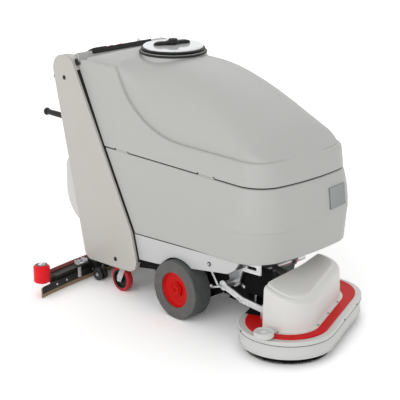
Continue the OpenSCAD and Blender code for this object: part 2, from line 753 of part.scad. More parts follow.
module recovery_tank() {
    color(grey) difference() {
        loft([for (x = stations) across(x)]);
        behind_columns(body_gap);
        difference() {
            translate([hinge_x - 100, -big / 2, hinge_z]) cube([100, big, 200]);
            rod_y(hinge_x, hinge_z, 15, -big / 2, big / 2);
        }
        translate([lid_x, 0, 830]) cylinder(r = neck_in, h = 300);
        translate([lid_x, 0, neck_low]) cylinder(r = neck_out + seat, h = 300);
        translate([-430, -190, upper_low + 8]) cube([490, 380, 840 - upper_low - 8]);
        translate([50, -190, upper_low + 8]) cube([250, 380, 110]);
        both_sides() {
            translate([hinge_x - 100, hinge_y - hinge_t - pocket, hinge_z - 22])
                cube([122, hinge_t + hinge_in + 2 * pocket, 200]);
            rod_y(hinge_x, hinge_z, hinge_pin_r + seat, hinge_y - hinge_t - 14, body_half_w + 1);
        }
    }
}
module tank_neck() {
    color(grey) translate([lid_x, 0, 0]) difference() {
        union() {
            translate([0, 0, neck_low]) cylinder(r = neck_out, h = neck_top - neck_low);
            translate([0, 0, neck_top - 8]) cylinder(r = neck_out + 3, h = 8);
        }
        translate([0, 0, neck_low - 1]) cylinder(r = neck_in, h = 200);
    }
}
module tank_hinge_pins() {
    color(steel) both_sides() rod_y(hinge_x, hinge_z, hinge_pin_r, hinge_y - hinge_t - 13, hinge_y + 17);
}
// Lid: clear disc on a double lip, with a two-winged handle
module lid_disc() {
    color([0.8, 0.83, 0.84]) translate([lid_x, 0, lid_low]) rotate_extrude()
        polygon([[0, 0], [lid_r - 2, 0], [lid_r, 2], [lid_r, lid_t - 3], [lid_r - 3, lid_t], [0, lid_t]]);
}
module lid_gasket() {
    r = neck_out;
    color(black) translate([lid_x, 0, lid_low - gasket_t]) rotate_extrude()
        polygon([[neck_in - 4, 0], [r, 0], [r + 2, 2], [r + 2, 3.5], [r - 4, 5], [r + 1, 6.5],
            [r + 1, 8], [r - 2, gasket_t],
            [neck_in - 4, gasket_t]]);
}
lobe_len = 66;
wing_turns = [77, 243];
module lid_handle() {
    color(black) translate([lid_x, 0, lid_z]) {
        cylinder(r = 30, h = 10);
        translate([0, 0, 9]) cylinder(r = 17, h = 11);
        for (a = wing_turns) rotate([0, 0, a]) {
            translate([0, -13, 0]) cube([lobe_len, 26, 16]);
            translate([lobe_len, 0, 0]) cylinder(r = 13, h = 18);
        }
    }
}

// Deck lift: arms on a cross tube, and the upper link that keeps the deck level
arm_h = 13;
module deck_arms() {
    mid = [arm_x, arm_z] + arm_vec / 2 - [0, 12];
    color(steel) {
        rod_y(arm_x, arm_z, arm_tube_r, -arm_y - arm_t / 2, arm_y + arm_t / 2);
        for (y = [-arm_y, arm_left]) along_y(y - arm_t / 2, y + arm_t / 2) difference() {
            union() {
                polygon([[arm_x, arm_z - arm_h], [mid[0], mid[1] - arm_h],
                    [arm_front_x, arm_front_z - arm_h],
                    [arm_front_x, arm_front_z + arm_h], [mid[0], mid[1] + arm_h], [arm_x, arm_z + arm_h]]);
                translate([arm_x, arm_z]) circle(arm_tube_r + 6);
                translate([arm_front_x, arm_front_z]) circle(arm_h + 2);
            }
            translate([arm_front_x, arm_front_z]) circle(link_pin_r + run_fit);
        }
    }
}
link_rear = [arm_x + link_dx, arm_z + link_dz];
link_front = link_rear + arm_vec;
link_hole_r = link_pin_r + 1.5;
module deck_link() {
    a = atan2(arm_vec[1], arm_vec[0]);
    color(steel) {
        along_y(link_y - 1, link_y + 7) difference() {
            union() {
                translate(link_rear) circle(16);
                translate(link_front) circle(16);
                translate(link_rear) rotate(a) translate([0, -10]) square([norm(arm_vec), 20]);
            }
            translate(link_front) circle(link_hole_r);
        }
        rod_y(link_rear[0], link_rear[1], link_pin_r, link_y, link_y + 20);
    }
}
// Deck: pan, splash skirt with its rim, red top plate
module deck_pan() {
    color(dark) difference() {
        oblong(right_brush, left_brush, pan_r - seat, pan_z, pan_z + pan_t);
        for (b = [right_brush, left_brush])
            translate([b[0], b[1], 0]) cylinder(r = brush_shaft_r + run_fit, h = big);
    }
}
lip_h = 16;
lip_out = 4;
module deck_skirt() {
    color(pale) difference() {
        union() {
            oblong(right_brush, left_brush, skirt_r - lip_out, skirt_low, skirt_top);
            oblong(right_brush, left_brush, skirt_r, skirt_top - lip_h, skirt_top);
            oblong(right_brush, left_brush, skirt_r - 1, skirt_low, skirt_low + 6);
        }
        oblong(right_brush, left_brush, pan_r, 0, pan_z + pan_t);
        oblong(right_brush, left_brush, plate_r - 10, 0, big);
    }
}
module deck_plate() {
    color(red) difference() {
        oblong(right_brush, left_brush, plate_r, skirt_top, plate_top);
        along_deck() translate([-big, 30, 0]) cube([big - motor_r - 20, big, big]);
        for (b = [right_brush, left_brush]) translate([b[0], b[1], 0]) cylinder(r = 24, h = big);
    }
}
// Frame of the deck: X across the line of the brushes, Y along it, from the right brush
module along_deck() {
    translate([brush_x, brush_y, 0]) rotate([0, 0, deck_turn]) children();
}
// Moulded cover over the motors, open to the rear; its roof falls to the front, most at the right end
cover_wall_t = 4;
near_fall = 0.33;
far_fall = 0.14;
cut_turn = 8.3;
cut_back = -62;
function roof(q) = cover_roof - q[0] * (near_fall - (near_fall - far_fall)
    * max(0, min(1, (q[1] + 50) / 390)));
function cover_ring(r, dz) = [for (q = slot([0, 0], [0, cover_reach], r, deck_steps / 2))
    [q[0], q[1], roof(q) + dz]];
module cover_solid(d) {
    foot = [for (q = slot([0, 0], [0, cover_reach], cover_r - d, deck_steps / 2))
        [q[0], q[1], plate_top - d]];
    loft([foot, cover_ring(cover_r - 6 - d, -22 - d / 2), cover_ring(cover_r - 9 - d, -14 - d / 2),
        cover_ring(cover_r - 16 - d, -9 - d / 2), cover_ring(cover_r - 30 - d, -7 - d),
            cover_ring(cover_r - 35 - d, -2 - d),
        cover_ring(cover_r - 42 - d, -d)]);
}
module motor_cover() {
    color(grey) along_deck() difference() {
        union() {
            cover_solid(0);
            oblong([0, 0], [0, cover_reach], cover_r + 9, plate_top, plate_top + 4);
        }
        cover_solid(cover_wall_t);
        translate([cut_back, -74, 0]) rotate([0, 0, -cut_turn]) translate([-big, -big / 2, 0])
            cube([big, big, big]);
    }
}
module brush_motors() {
    color(black) for (b = [right_brush, left_brush]) translate([b[0], b[1], plate_top]) difference() {
        union() {
            cylinder(r = motor_r + 4, h = 10);
            cylinder(r = motor_r, h = motor_h);
            translate([0, 0, motor_h - eps]) cylinder(r = motor_r - 14, h = 10);
        }
        translate([0, 0, -1]) cylinder(r = brush_shaft_r + run_fit, h = 46);
    }
}
// Lugs on the deck for the arms and the link, and the pin of the corner roller
lug_t = 8;
lug_right = -arm_y + arm_t / 2 + 1;
lug_left = arm_left - arm_t / 2 - 1 - lug_t;
roller_pin_r = 6;
roller_set = 9.8523;
corner_roller = right_brush + (skirt_r - roller_set) * unit([38, -172]);
module deck_lugs() {
    color(steel) {
        for (y = [lug_right, lug_left]) along_y(y, y + lug_t) {
            translate([arm_front_x - 20, plate_top]) square([40, arm_front_z - plate_top]);
            translate([arm_front_x, arm_front_z]) circle(20);
        }
        rod_y(arm_front_x, arm_front_z, link_pin_r, lug_right - arm_t - 6, lug_right + lug_t);
        rod_y(arm_front_x, arm_front_z, link_pin_r, lug_left, lug_left + lug_t + arm_t + 6);
        along_y(link_y + 8, link_y + 18) {
            translate([link_front[0] - 18, plate_top]) square([36, link_front[1] - plate_top]);
            translate(link_front) circle(18);
        }
        rod_y(link_front[0], link_front[1], link_pin_r, link_y - 4, link_y + 12);
        translate([corner_roller[0], corner_roller[1], skirt_top]) {
            cylinder(r = 13, h = 8);
            cylinder(r = roller_pin_r, h = 36);
        }
    }
}
module deck_roller() {
    color(pale) translate([corner_roller[0], corner_roller[1], skirt_top + 9]) rotate_extrude()
        polygon([[roller_pin_r + run_fit, 0], [deck_roller_r - 3, 0], [deck_roller_r, 3],
            [deck_roller_r, 19],
            [deck_roller_r - 3, 22], [deck_roller_r - 8, 22], [deck_roller_r - 10, 19],
                [roller_pin_r + 8, 19],
            [roller_pin_r + 6, 24], [roller_pin_r + run_fit, 24]]);
}
// Brushes: turned block with its shaft, and the bristles on a slice of backing
slice_t = 4;
module brush_block(b) {
    color(dark) translate([b[0], b[1], 0]) {
        translate([0, 0, skirt_low + slice_t]) cylinder(r = brush_r, h = brush_top - skirt_low - slice_t);
        translate([0, 0, brush_top - 1]) cylinder(r = 46, h = 12);
        translate([0, 0, brush_top]) cylinder(r = brush_shaft_r, h = plate_top + 40 - brush_top);
    }
}
strand_r = 3.4;
row_step = 20;
module bristles(b) {
    low = skirt_low - bristle_len;
    color(black) translate([b[0], b[1], 0]) union() {
        translate([0, 0, skirt_low]) cylinder(r = brush_r, h = slice_t);
        for (k = [0:2]) let (n = bristle_count - k * 16, r = brush_r - 4 - k * row_step)
            for (i = [0:n - 1]) rotate([0, 0, 360 * i / n]) translate([r, 0, low])
                cylinder(r = strand_r, h = bristle_len + 1, $fn = 4);
    }
}
module brush_right() { brush_block(right_brush); }
module brush_left() { brush_block(left_brush); }
module bristles_right() { bristles(right_brush); }
module bristles_left() { bristles(left_brush); }

// Squeegee: arm, curved body, two blades
sq_pivot = [-585, 0];
sq_pivot_r = 9;
sq_top = sq_body_low + sq_body_t;
sq_deck_t = 8;
roller_gap = 25;
body_half = sq_roller_y - roller_r - roller_gap;
blade_low = 1;
blade_seat = 0.4;
clamp_t = 4;
clamp_low = 20;
clamp_in = 6;
wing_top = 68;
rear_blade_h = 81;
centre_half = 210;
function blade_at(y) = blade_x + blade_curve - sqrt(pow(blade_curve, 2) - pow(y, 2));
// Curved bar from d0 to d1 behind the front blade's rear face
blade_steps = 12;
module curved(d0, d1, half, z0, z1) {
    y = [for (i = [-blade_steps:blade_steps]) half * i / blade_steps];
    n = len(y) - 1;
    translate([0, 0, z0]) linear_extrude(z1 - z0)
        polygon(concat([for (i = [0:n]) [blade_at(y[i]) - d0, y[i]]],
        [for (i = [n:-1:0]) [blade_at(y[i]) - d1, y[i]]]));
}
module squeegee_arm() {
    tongue = sq_top + sq_deck_t + 1;
    color(steel) {
        rod_y(sq_hinge[0], sq_hinge[1], sq_pin_r, -66, 66);
        along_y(-22, 22) {
            translate(sq_hinge) circle(20);
            polygon([[sq_hinge[0], sq_hinge[1] + 16], [sq_hinge[0] - 120, tongue + 14],
                [sq_pivot[0], tongue + 12],
                [sq_pivot[0], tongue], [sq_hinge[0] - 110, tongue], [sq_hinge[0] + 8, sq_hinge[1] - 18]]);
        }
        translate([sq_pivot[0], 0, tongue]) cylinder(r = 22, h = 12);
        translate([sq_pivot[0], 0, sq_top - 4]) cylinder(r = sq_pivot_r, h = 20);
    }
}
module squeegee_body() {
    in = blade_pitch - blade_t - blade_seat;
    color(black) difference() {
        union() {
            curved(blade_seat, in, body_half, sq_body_low, wing_top);
            curved(10, in, centre_half, wing_top - 1, sq_top);
            curved(-blade_t - blade_seat - clamp_t, -blade_t - blade_seat, blade_half - clamp_in, clamp_low,
                blade_low + blade_h - 1);
            translate([0, 0, sq_top - 1]) linear_extrude(sq_deck_t + 1)
                polygon([[sq_pivot[0] + 24, -34], [sq_pivot[0] + 24, 34],
                [blade_x - 16, 190], [blade_x - 94, 150], [blade_x - 94, -150], [blade_x - 16, -190]]);
            both_sides() {
                along_y(sq_wheel_y + 14, sq_wheel_y + 20)
                    polygon([[blade_x - 34, wing_top - 1], [blade_x - 34, wing_top + 10],
                    [blade_x + 48, wing_top + 10], [sq_wheel_x + 12, sq_wheel_r + 4],
                    [sq_wheel_x + 4, sq_wheel_r - 9], [sq_wheel_x - 10, sq_wheel_r - 4],
                    [blade_x + 32, wing_top - 12], [blade_x + 6, wing_top - 1]]);
                rod_y(sq_wheel_x, sq_wheel_r, 5, sq_wheel_y - 11, sq_wheel_y + 18);
                translate([blade_at(sq_roller_y) - roller_r - 12, body_half - 1, sq_body_low])
                    cube([22, sq_roller_y - body_half + 10, 6]);
                translate([blade_at(sq_roller_y) - roller_r - 1.5, sq_roller_y, sq_body_low])
                    cylinder(r = 6, h = sq_roller_h + 14);
            }
        }
        translate([sq_pivot[0], 0, 0]) cylinder(r = sq_pivot_r + run_fit, h = big);
    }
}
module blades() {
    color(tan_blade) {
        curved(-blade_t, 0, blade_half, blade_low, blade_low + blade_h);
        curved(blade_pitch - blade_t, blade_pitch, body_half, blade_low, blade_low + rear_blade_h);
    }
}
// Elbow on top of the squeegee whose mouth takes the suction hose, open to the rear
spigot_r = 30;
spigot_wall = 5;
spigot_len = 56;
spigot_z = 130;
spigot_back = 48;
elbow_r = 35;
collar_r = 33;
collar_end = 50;
module suction_spigot() {
    foot = sq_top + sq_deck_t;
    color(black) translate([blade_x - spigot_back, 0, 0]) difference() {
        union() {
            translate([0, 0, foot]) cylinder(r = elbow_r, h = spigot_z + elbow_r - foot);
            translate([0, 0, foot]) cylinder(r = elbow_r + 7, h = 5);
            translate([0, 0, spigot_z]) rotate([0, -90, 0]) {
                cylinder(r = collar_r, h = collar_end);
                cylinder(r = spigot_r, h = collar_end + spigot_len);
            }
        }
        translate([5, 0, spigot_z]) rotate([0, -90, 0]) cylinder(r = spigot_r - spigot_wall, h = 200);
    }
}
module squeegee_knobs() {
    color(steel) both_sides() translate([blade_x - 40, 130, sq_top + sq_deck_t]) {
        cylinder(r = 9, h = 8);
        translate([0, 0, 7]) cylinder(r = 17, h = 16, $fn = 10);
    }
}
module sq_roller(side) {
    color(red) translate([blade_at(sq_roller_y) - roller_r - 1.5, side * sq_roller_y, sq_roller_z])
        rotate_extrude()
        polygon([[6 + run_fit, 0], [roller_r - 4, 0], [roller_r, 4], [roller_r, sq_roller_h - 8],
            [roller_r - 8, sq_roller_h],
            [6 + run_fit, sq_roller_h]]);
}
module sq_wheel(side) {
    color(black) translate([sq_wheel_x, side * sq_wheel_y, sq_wheel_r]) rotate([90, 0, 0]) rotate_extrude()
        polygon([[5 + run_fit, -10], [sq_wheel_r - 3, -10], [sq_wheel_r, -7], [sq_wheel_r, 7],
            [sq_wheel_r - 3, 10],
            [5 + run_fit, 10]]);
}
module roller_right() { sq_roller(-1); }
module roller_left() { sq_roller(1); }
module squeegee_wheel_right() { sq_wheel(-1); }
module squeegee_wheel_left() { sq_wheel(1); }

// Lift lever with its flared grip, and the drive bail
grip_len = 140;
module lift_lever() {
    color(black) difference() {
        union() {
            rod_y(lever_x, lever_z, 18, lever_y - 8, lever_y + 8);
            translate([lever_x, lever_y, lever_z]) rotate([0, -90, 0]) {
                cylinder(r = grip_r - 4, h = lever_x - lever_end - 10);
                translate([0, 0, lever_x - lever_end - grip_len]) rotate_extrude()
                    polygon([[0, 0], [grip_r - 3, 0], [grip_r - 1, 4], [grip_r - 2, grip_len - 18],
                        [grip_r + 3, grip_len - 8],
                        [grip_r + 2, grip_len - 2], [grip_r - 2, grip_len], [0, grip_len]]);
            }
        }
        rod_y(lever_x, lever_z, lever_pin_r + run_fit, lever_y - 20, lever_y + 20);
    }
}
module drive_bail() {
    lean = atan2(bail_bar[1] - bail[1], bail_bar[0] - bail[0]);
    color(black) difference() {
        union() {
            rod_y(bail_bar[0], bail_bar[1], 10, -column_in - 17, column_in + 17);
            both_sides() along_y(bail_y - 4, bail_y + 4) {
                translate(bail) circle(13);
                translate(bail) rotate(lean) translate([0, -7]) square([norm(bail_bar - bail), 14]);
            }
        }
        both_sides() rod_y(bail[0], bail[1], bail_pin_r + run_fit, bail_y - 20, bail_y + 20);
    }
}
// Key and push-buttons of the control panel
module key_switch() {
    color(steel) on_panel() translate([key_at[0], key_at[1], 0]) {
        translate([0, 0, -11]) cylinder(r = key_r, h = 15);
        translate([-9, -2, 3]) cube([18, 4, 13]);
    }
}
module button(i) {
    color(red) on_panel() translate([button_at[i][0], button_at[i][1], -8]) cylinder(r = button_r, h = 13);
}
module button_right() { button(0); }
module button_left() { button(1); }

module placed() {
    translate([x_shift, 0, 0]) children();
}

placed() chassis_frame();
placed() chassis_plates();
placed() solution_tank();
placed() battery_pack();
placed() columns();
placed() rear_console();
placed() control_panel();
placed() handle_bar();
placed() rear_cover();
placed() transaxle();
placed() drive_motor();
placed() vacuum_motor();
placed() side_bolts();
placed() tank_hinge_brackets();
placed() deck_brackets();
placed() castor_brackets();
placed() squeegee_hinge();
placed() tyre_right();
placed() hub_right();
placed() tyre_left();
placed() hub_left();
placed() castor_fork_right();
placed() castor_tread_right();
placed() castor_core_right();
placed() castor_fork_left();
placed() castor_tread_left();
placed() castor_core_left();
placed() recovery_tank();
placed() tank_neck();
placed() tank_hinge_pins();
placed() lid_disc();
placed() lid_gasket();
placed() lid_handle();
placed() deck_arms();
placed() deck_link();
placed() deck_pan();
placed() deck_skirt();
placed() deck_plate();
placed() motor_cover();
placed() brush_motors();
placed() deck_lugs();
placed() deck_roller();
placed() brush_right();
placed() bristles_right();
placed() brush_left();
placed() bristles_left();
placed() squeegee_arm();
placed() squeegee_body();
placed() blades();
placed() suction_spigot();
placed() squeegee_knobs();
placed() roller_right();
placed() roller_left();
placed() squeegee_wheel_right();
placed() squeegee_wheel_left();
placed() lift_lever();
placed() drive_bail();
placed() key_switch();
placed() button_right();
placed() button_left();
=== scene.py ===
"""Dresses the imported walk-behind scrubber dryer: finishes, moulded detail, bristles and fittings.

Lengths are millimetres and lie from the drive axle, as in the part's source, unless a line says
otherwise; at() turns a place into the frame's metres.
"""
import json
import math

import bpy
from mathutils import Euler, Matrix, Vector


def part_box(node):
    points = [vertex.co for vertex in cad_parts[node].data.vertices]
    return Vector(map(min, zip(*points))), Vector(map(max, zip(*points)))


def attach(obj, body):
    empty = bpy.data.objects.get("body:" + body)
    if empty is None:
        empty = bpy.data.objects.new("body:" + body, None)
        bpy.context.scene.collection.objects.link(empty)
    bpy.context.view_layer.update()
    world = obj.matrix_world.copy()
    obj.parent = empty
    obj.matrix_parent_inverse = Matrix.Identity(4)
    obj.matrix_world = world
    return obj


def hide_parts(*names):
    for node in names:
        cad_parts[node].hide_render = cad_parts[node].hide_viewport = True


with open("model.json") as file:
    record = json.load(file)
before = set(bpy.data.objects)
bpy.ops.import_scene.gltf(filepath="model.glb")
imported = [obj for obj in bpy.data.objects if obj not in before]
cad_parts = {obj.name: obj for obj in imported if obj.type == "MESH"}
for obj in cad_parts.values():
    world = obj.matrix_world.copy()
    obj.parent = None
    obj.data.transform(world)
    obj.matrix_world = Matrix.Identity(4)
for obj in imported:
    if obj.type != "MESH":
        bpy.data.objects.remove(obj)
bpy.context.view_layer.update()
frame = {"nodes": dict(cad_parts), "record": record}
nodes = frame["nodes"]
MM = 0.001
tyre_low, tyre_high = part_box("tyre_right")
AXLE = (tyre_low.x + tyre_high.x) / 2
WHEEL_Z = (tyre_low.z + tyre_high.z) / 2 / MM
SIDES = (-1, 1)
HANDS = ((-1, "right"), (1, "left"))


def at(x, y, z):
    """A place given in millimetres from the drive axle, in metres in the frame."""
    return Vector((AXLE + x * MM, y * MM, z * MM))


# Camera at the photograph's angle
CAMERA_PLACE = at(3373, -3412, 1990)
CAMERA_RIGHT = Vector((0.695, 0.719, 0.0))
CAMERA_UP = Vector((-0.2217, 0.2143, 0.9512))
CAMERA_LENS = 111.2
SENSOR = 36


def set_camera():
    data = bpy.data.cameras.new("camera")
    data.lens = CAMERA_LENS
    data.sensor_width = SENSOR
    camera = bpy.data.objects.new("camera", data)
    bpy.context.scene.collection.objects.link(camera)
    right = CAMERA_RIGHT.normalized()
    back = right.cross(CAMERA_UP).normalized()
    turn = Matrix((right, back.cross(right), back)).transposed()
    camera.matrix_world = Matrix.Translation(CAMERA_PLACE) @ turn.to_4x4()
    bpy.context.scene.camera = camera


set_camera()


# Shader helpers
def feed(tree, value, socket):
    """Gives a socket its value: a link from another socket, or a number or colour."""
    if isinstance(value, bpy.types.NodeSocket):
        tree.links.new(value, socket)
    else:
        socket.default_value = value


def add_node(tree, kind, inputs=()):
    """A new node with some of its inputs fed, each by its label or number."""
    node = tree.nodes.new(kind)
    for label, value in dict(inputs).items():
        feed(tree, value, node.inputs[label])
    return node


def math_node(tree, operation, *values, clamp=False):
    node = tree.nodes.new("ShaderNodeMath")
    node.operation = operation
    node.use_clamp = clamp
    for i, value in enumerate(values):
        feed(tree, value, node.inputs[i])
    return node.outputs[0]


def span(tree, value, low, high, to_low=0.0, to_high=1.0):
    """Maps a stretch of a value onto another, held at its ends."""
    node = add_node(tree, "ShaderNodeMapRange", {
        "Value": value, "From Min": low, "From Max": high, "To Min": to_low, "To Max": to_high})
    node.clamp = True
    return node.outputs["Result"]


def coordinate(tree, kind="Object"):
    return tree.nodes.new("ShaderNodeTexCoord").outputs[kind]


def split(tree, vector):
    return add_node(tree, "ShaderNodeSeparateXYZ", {0: vector}).outputs


def noise(tree, scale, detail=3.0, roughness=0.5, stretch=None):
    """Noise on the piece's own place."""
    where = coordinate(tree)
    if stretch:
        mapping = add_node(tree, "ShaderNodeMapping", {"Vector": where, "Scale": stretch})
        where = mapping.outputs["Vector"]
    return add_node(tree, "ShaderNodeTexNoise", {
        "Vector": where, "Scale": scale, "Detail": detail, "Roughness": roughness}).outputs["Fac"]


def blend_colour(tree, factor, a, b, mode="MIX"):
    node = tree.nodes.new("ShaderNodeMix")
    node.data_type = "RGBA"
    node.blend_type = mode
    for index, value in ((0, factor), (6, a), (7, b)):
        feed(tree, value, node.inputs[index])
    return node.outputs[2]


def new_group(name, inputs, *outputs):
    """A shader group, with the values its inputs start from; a socket named Colour is a colour."""
    tree = bpy.data.node_groups.new(name, "ShaderNodeTree")
    for way, labels in (("INPUT", inputs), ("OUTPUT", outputs)):
        for label in labels:
            kind = "NodeSocketColor" if label == "Colour" else "NodeSocketFloat"
            socket = tree.interface.new_socket(label, in_out=way, socket_type=kind)
            if way == "INPUT":
                socket.default_value = inputs[label]
    given = tree.nodes.new("NodeGroupInput").outputs
    return tree, given, tree.nodes.new("NodeGroupOutput").inputs


# Node groups that the finishes share
def make_grain():
    """Height of a fine moulded or sprayed texture."""
    tree, given, out = new_group("surface_grain", {"Scale": 900.0}, "Height")
    fine = noise(tree, given["Scale"], 2.0, 0.6)
    coarse = noise(tree, math_node(tree, "MULTIPLY", given["Scale"], 0.07), 2.0)
    feed(tree, math_node(tree, "ADD", math_node(tree, "MULTIPLY", fine, 0.7),
                         math_node(tree, "MULTIPLY", coarse, 0.3)), out["Height"])
    return tree


def make_tone():
    """Slow drift of a colour over the surface, and the roughness that goes with it."""
    tree, given, out = new_group(
        "tone_drift", {"Colour": (0.5, 0.5, 0.5, 1), "Drift": 0.05, "Scale": 4.0, "Roughness": 0.5,
                       "Spread": 0.08}, "Colour", "Roughness")
    wave = math_node(tree, "SUBTRACT", noise(tree, given["Scale"], 4.0, 0.55), 0.5)
    gain = math_node(tree, "ADD", math_node(tree, "MULTIPLY", wave, given["Drift"]), 1.0)
    grey = add_node(tree, "ShaderNodeCombineColor", {0: gain, 1: gain, 2: gain}).outputs[0]
    feed(tree, blend_colour(tree, 1.0, given["Colour"], grey, "MULTIPLY"), out["Colour"])
    scuff = math_node(tree, "SUBTRACT", noise(tree, 38.0, 3.0, 0.6, (1, 1, 0.35)), 0.5)
    feed(tree, math_node(tree, "ADD", math_node(tree, "MULTIPLY", scuff, given["Spread"]),
                         given["Roughness"]), out["Roughness"])
    return tree


def make_wear():
    """Mask of rubbed edges."""
    tree, given, out = new_group("edge_wear", {"Amount": 0.3}, "Mask")
    point = tree.nodes.new("ShaderNodeNewGeometry").outputs["Pointiness"]
    edge = span(tree, point, 0.53, 0.62)
    patch = span(tree, noise(tree, 60.0, 4.0, 0.65), 0.4, 0.7)
    feed(tree, math_node(tree, "MULTIPLY", math_node(tree, "MULTIPLY", edge, patch),
                         given["Amount"], clamp=True), out["Mask"])
    return tree


def make_dust():
    """Mask of fine dust on faces that look up, and of splashes low down."""
    tree, given, out = new_group("dust_and_splash", {"Amount": 0.1}, "Mask")
    up = span(tree, split(tree, coordinate(tree, "Normal"))["Z"], 0.2, 1.0, 0.2)
    low = span(tree, split(tree, coordinate(tree))["Z"], 0.4, 0.0, 0.25)
    speck = span(tree, noise(tree, 24.0, 6.0, 0.7), 0.45, 0.8)
    fall = math_node(tree, "MULTIPLY", math_node(tree, "MAXIMUM", up, low), speck)
    feed(tree, math_node(tree, "MULTIPLY", fall, given["Amount"], clamp=True), out["Mask"])
    return tree


GRAIN = make_grain()
TONE = make_tone()
WEAR = make_wear()
DUST = make_dust()
DUST_COLOUR = (0.36, 0.34, 0.30, 1)


def use_group(tree, group, **values):
    node = tree.nodes.new("ShaderNodeGroup")
    node.node_tree = group
    for label, value in values.items():
        feed(tree, value, node.inputs[label])
    return node.outputs


SHADER_LABEL = {"metallic": "Metallic", "coat": "Coat Weight", "specular": "Specular IOR Level",
                "clear": "Transmission Weight", "ior": "IOR"}


def new_material(name, **inputs):
    """A material, its tree and its shader, with some of the shader's inputs set."""
    made = bpy.data.materials.new(name)
    made.use_nodes = True
    shader = made.node_tree.nodes["Principled BSDF"]
    for label, value in inputs.items():
        shader.inputs[SHADER_LABEL[label]].default_value = value
    return made, made.node_tree, shader


def surface(tree, shader, colour, rough, drift=0.05, drift_scale=4.0, spread=0.1, grain=900.0,
            bump=0.05, depth=0.0004, wear=0.0, worn=(0.6, 0.6, 0.6), dust=0.06):
    """Joins the shared effects to a shader: tone, worn edges, dust, roughness and a fine bump."""
    tone = use_group(tree, TONE, Colour=colour, Drift=drift, Scale=drift_scale, Roughness=rough,
                     Spread=spread)
    paint = tone["Colour"]
    if wear:
        paint = blend_colour(tree, use_group(tree, WEAR, Amount=wear)["Mask"], paint, (*worn, 1))
    paint = blend_colour(tree, use_group(tree, DUST, Amount=dust)["Mask"], paint, DUST_COLOUR)
    height = use_group(tree, GRAIN, Scale=grain)["Height"]
    bumps = add_node(tree, "ShaderNodeBump", {"Strength": bump, "Distance": depth,
                                              "Height": height})
    feed(tree, paint, shader.inputs["Base Color"])
    feed(tree, tone["Roughness"], shader.inputs["Roughness"])
    feed(tree, bumps.outputs["Normal"], shader.inputs["Normal"])


def plain_finish(name, colour, rough, metallic=0.0, coat=0.0, specular=0.5, **effects):
    made, tree, shader = new_material(name, metallic=metallic, coat=coat, specular=specular)
    surface(tree, shader, (*colour, 1), rough, **effects)
    return made


# Radii in metres between which the tyre's wall turns into its running face
TREAD_FROM, TREAD_FULL = 0.1172, 0.1192
WALL_RINGS = 2600.0


def tyre_finish():
    """Rubber whose running face is darker than its side walls."""
    made, tree, shader = new_material("tyre_rubber", specular=0.35)
    place = split(tree, coordinate(tree))
    across = math_node(tree, "SUBTRACT", place["X"], AXLE)
    above = math_node(tree, "SUBTRACT", place["Z"], WHEEL_Z * MM)
    squares = [math_node(tree, "MULTIPLY", side, side) for side in (across, above)]
    radius = math_node(tree, "SQRT", math_node(tree, "ADD", *squares))
    wave = math_node(tree, "SINE", math_node(tree, "MULTIPLY", radius, WALL_RINGS))
    rings = math_node(tree, "ADD", math_node(tree, "MULTIPLY", wave, 0.04), 0.5)
    wall = blend_colour(tree, rings, (0.094, 0.091, 0.089, 1), (0.134, 0.13, 0.127, 1))
    running = span(tree, radius, TREAD_FROM, TREAD_FULL)
    tint = blend_colour(tree, running, wall, (0.082, 0.092, 0.09, 1))
    surface(tree, shader, tint, 0.72, drift=0.14, drift_scale=9.0, spread=0.16, grain=520.0,
            bump=0.16, depth=0.0006, dust=0.22)
    return made


def zinc_finish():
    """Zinc-plated steel: soft crystal flakes in colour and gloss."""
    made, tree, shader = new_material("zinc_plate", metallic=0.85)
    flakes = add_node(tree, "ShaderNodeTexVoronoi", {"Scale": 170.0, "Vector": coordinate(tree)})
    shade = add_node(tree, "ShaderNodeSeparateColor", {0: flakes.outputs["Color"]}).outputs[0]
    tint = blend_colour(tree, shade, (0.56, 0.57, 0.58, 1), (0.72, 0.73, 0.74, 1))
    surface(tree, shader, tint, 0.34, drift=0.1, drift_scale=14.0, spread=0.22, grain=1400.0,
            dust=0.1)
    return made


def lid_finish():
    """Milky clear plastic of the lid."""
    made, tree, shader = new_material("lid_clear", clear=0.05, ior=1.46, coat=0.8)
    surface(tree, shader, (0.92, 0.935, 0.96, 1), 0.16, drift=0.04, grain=300.0, bump=0.02,
            dust=0.03)
    return made


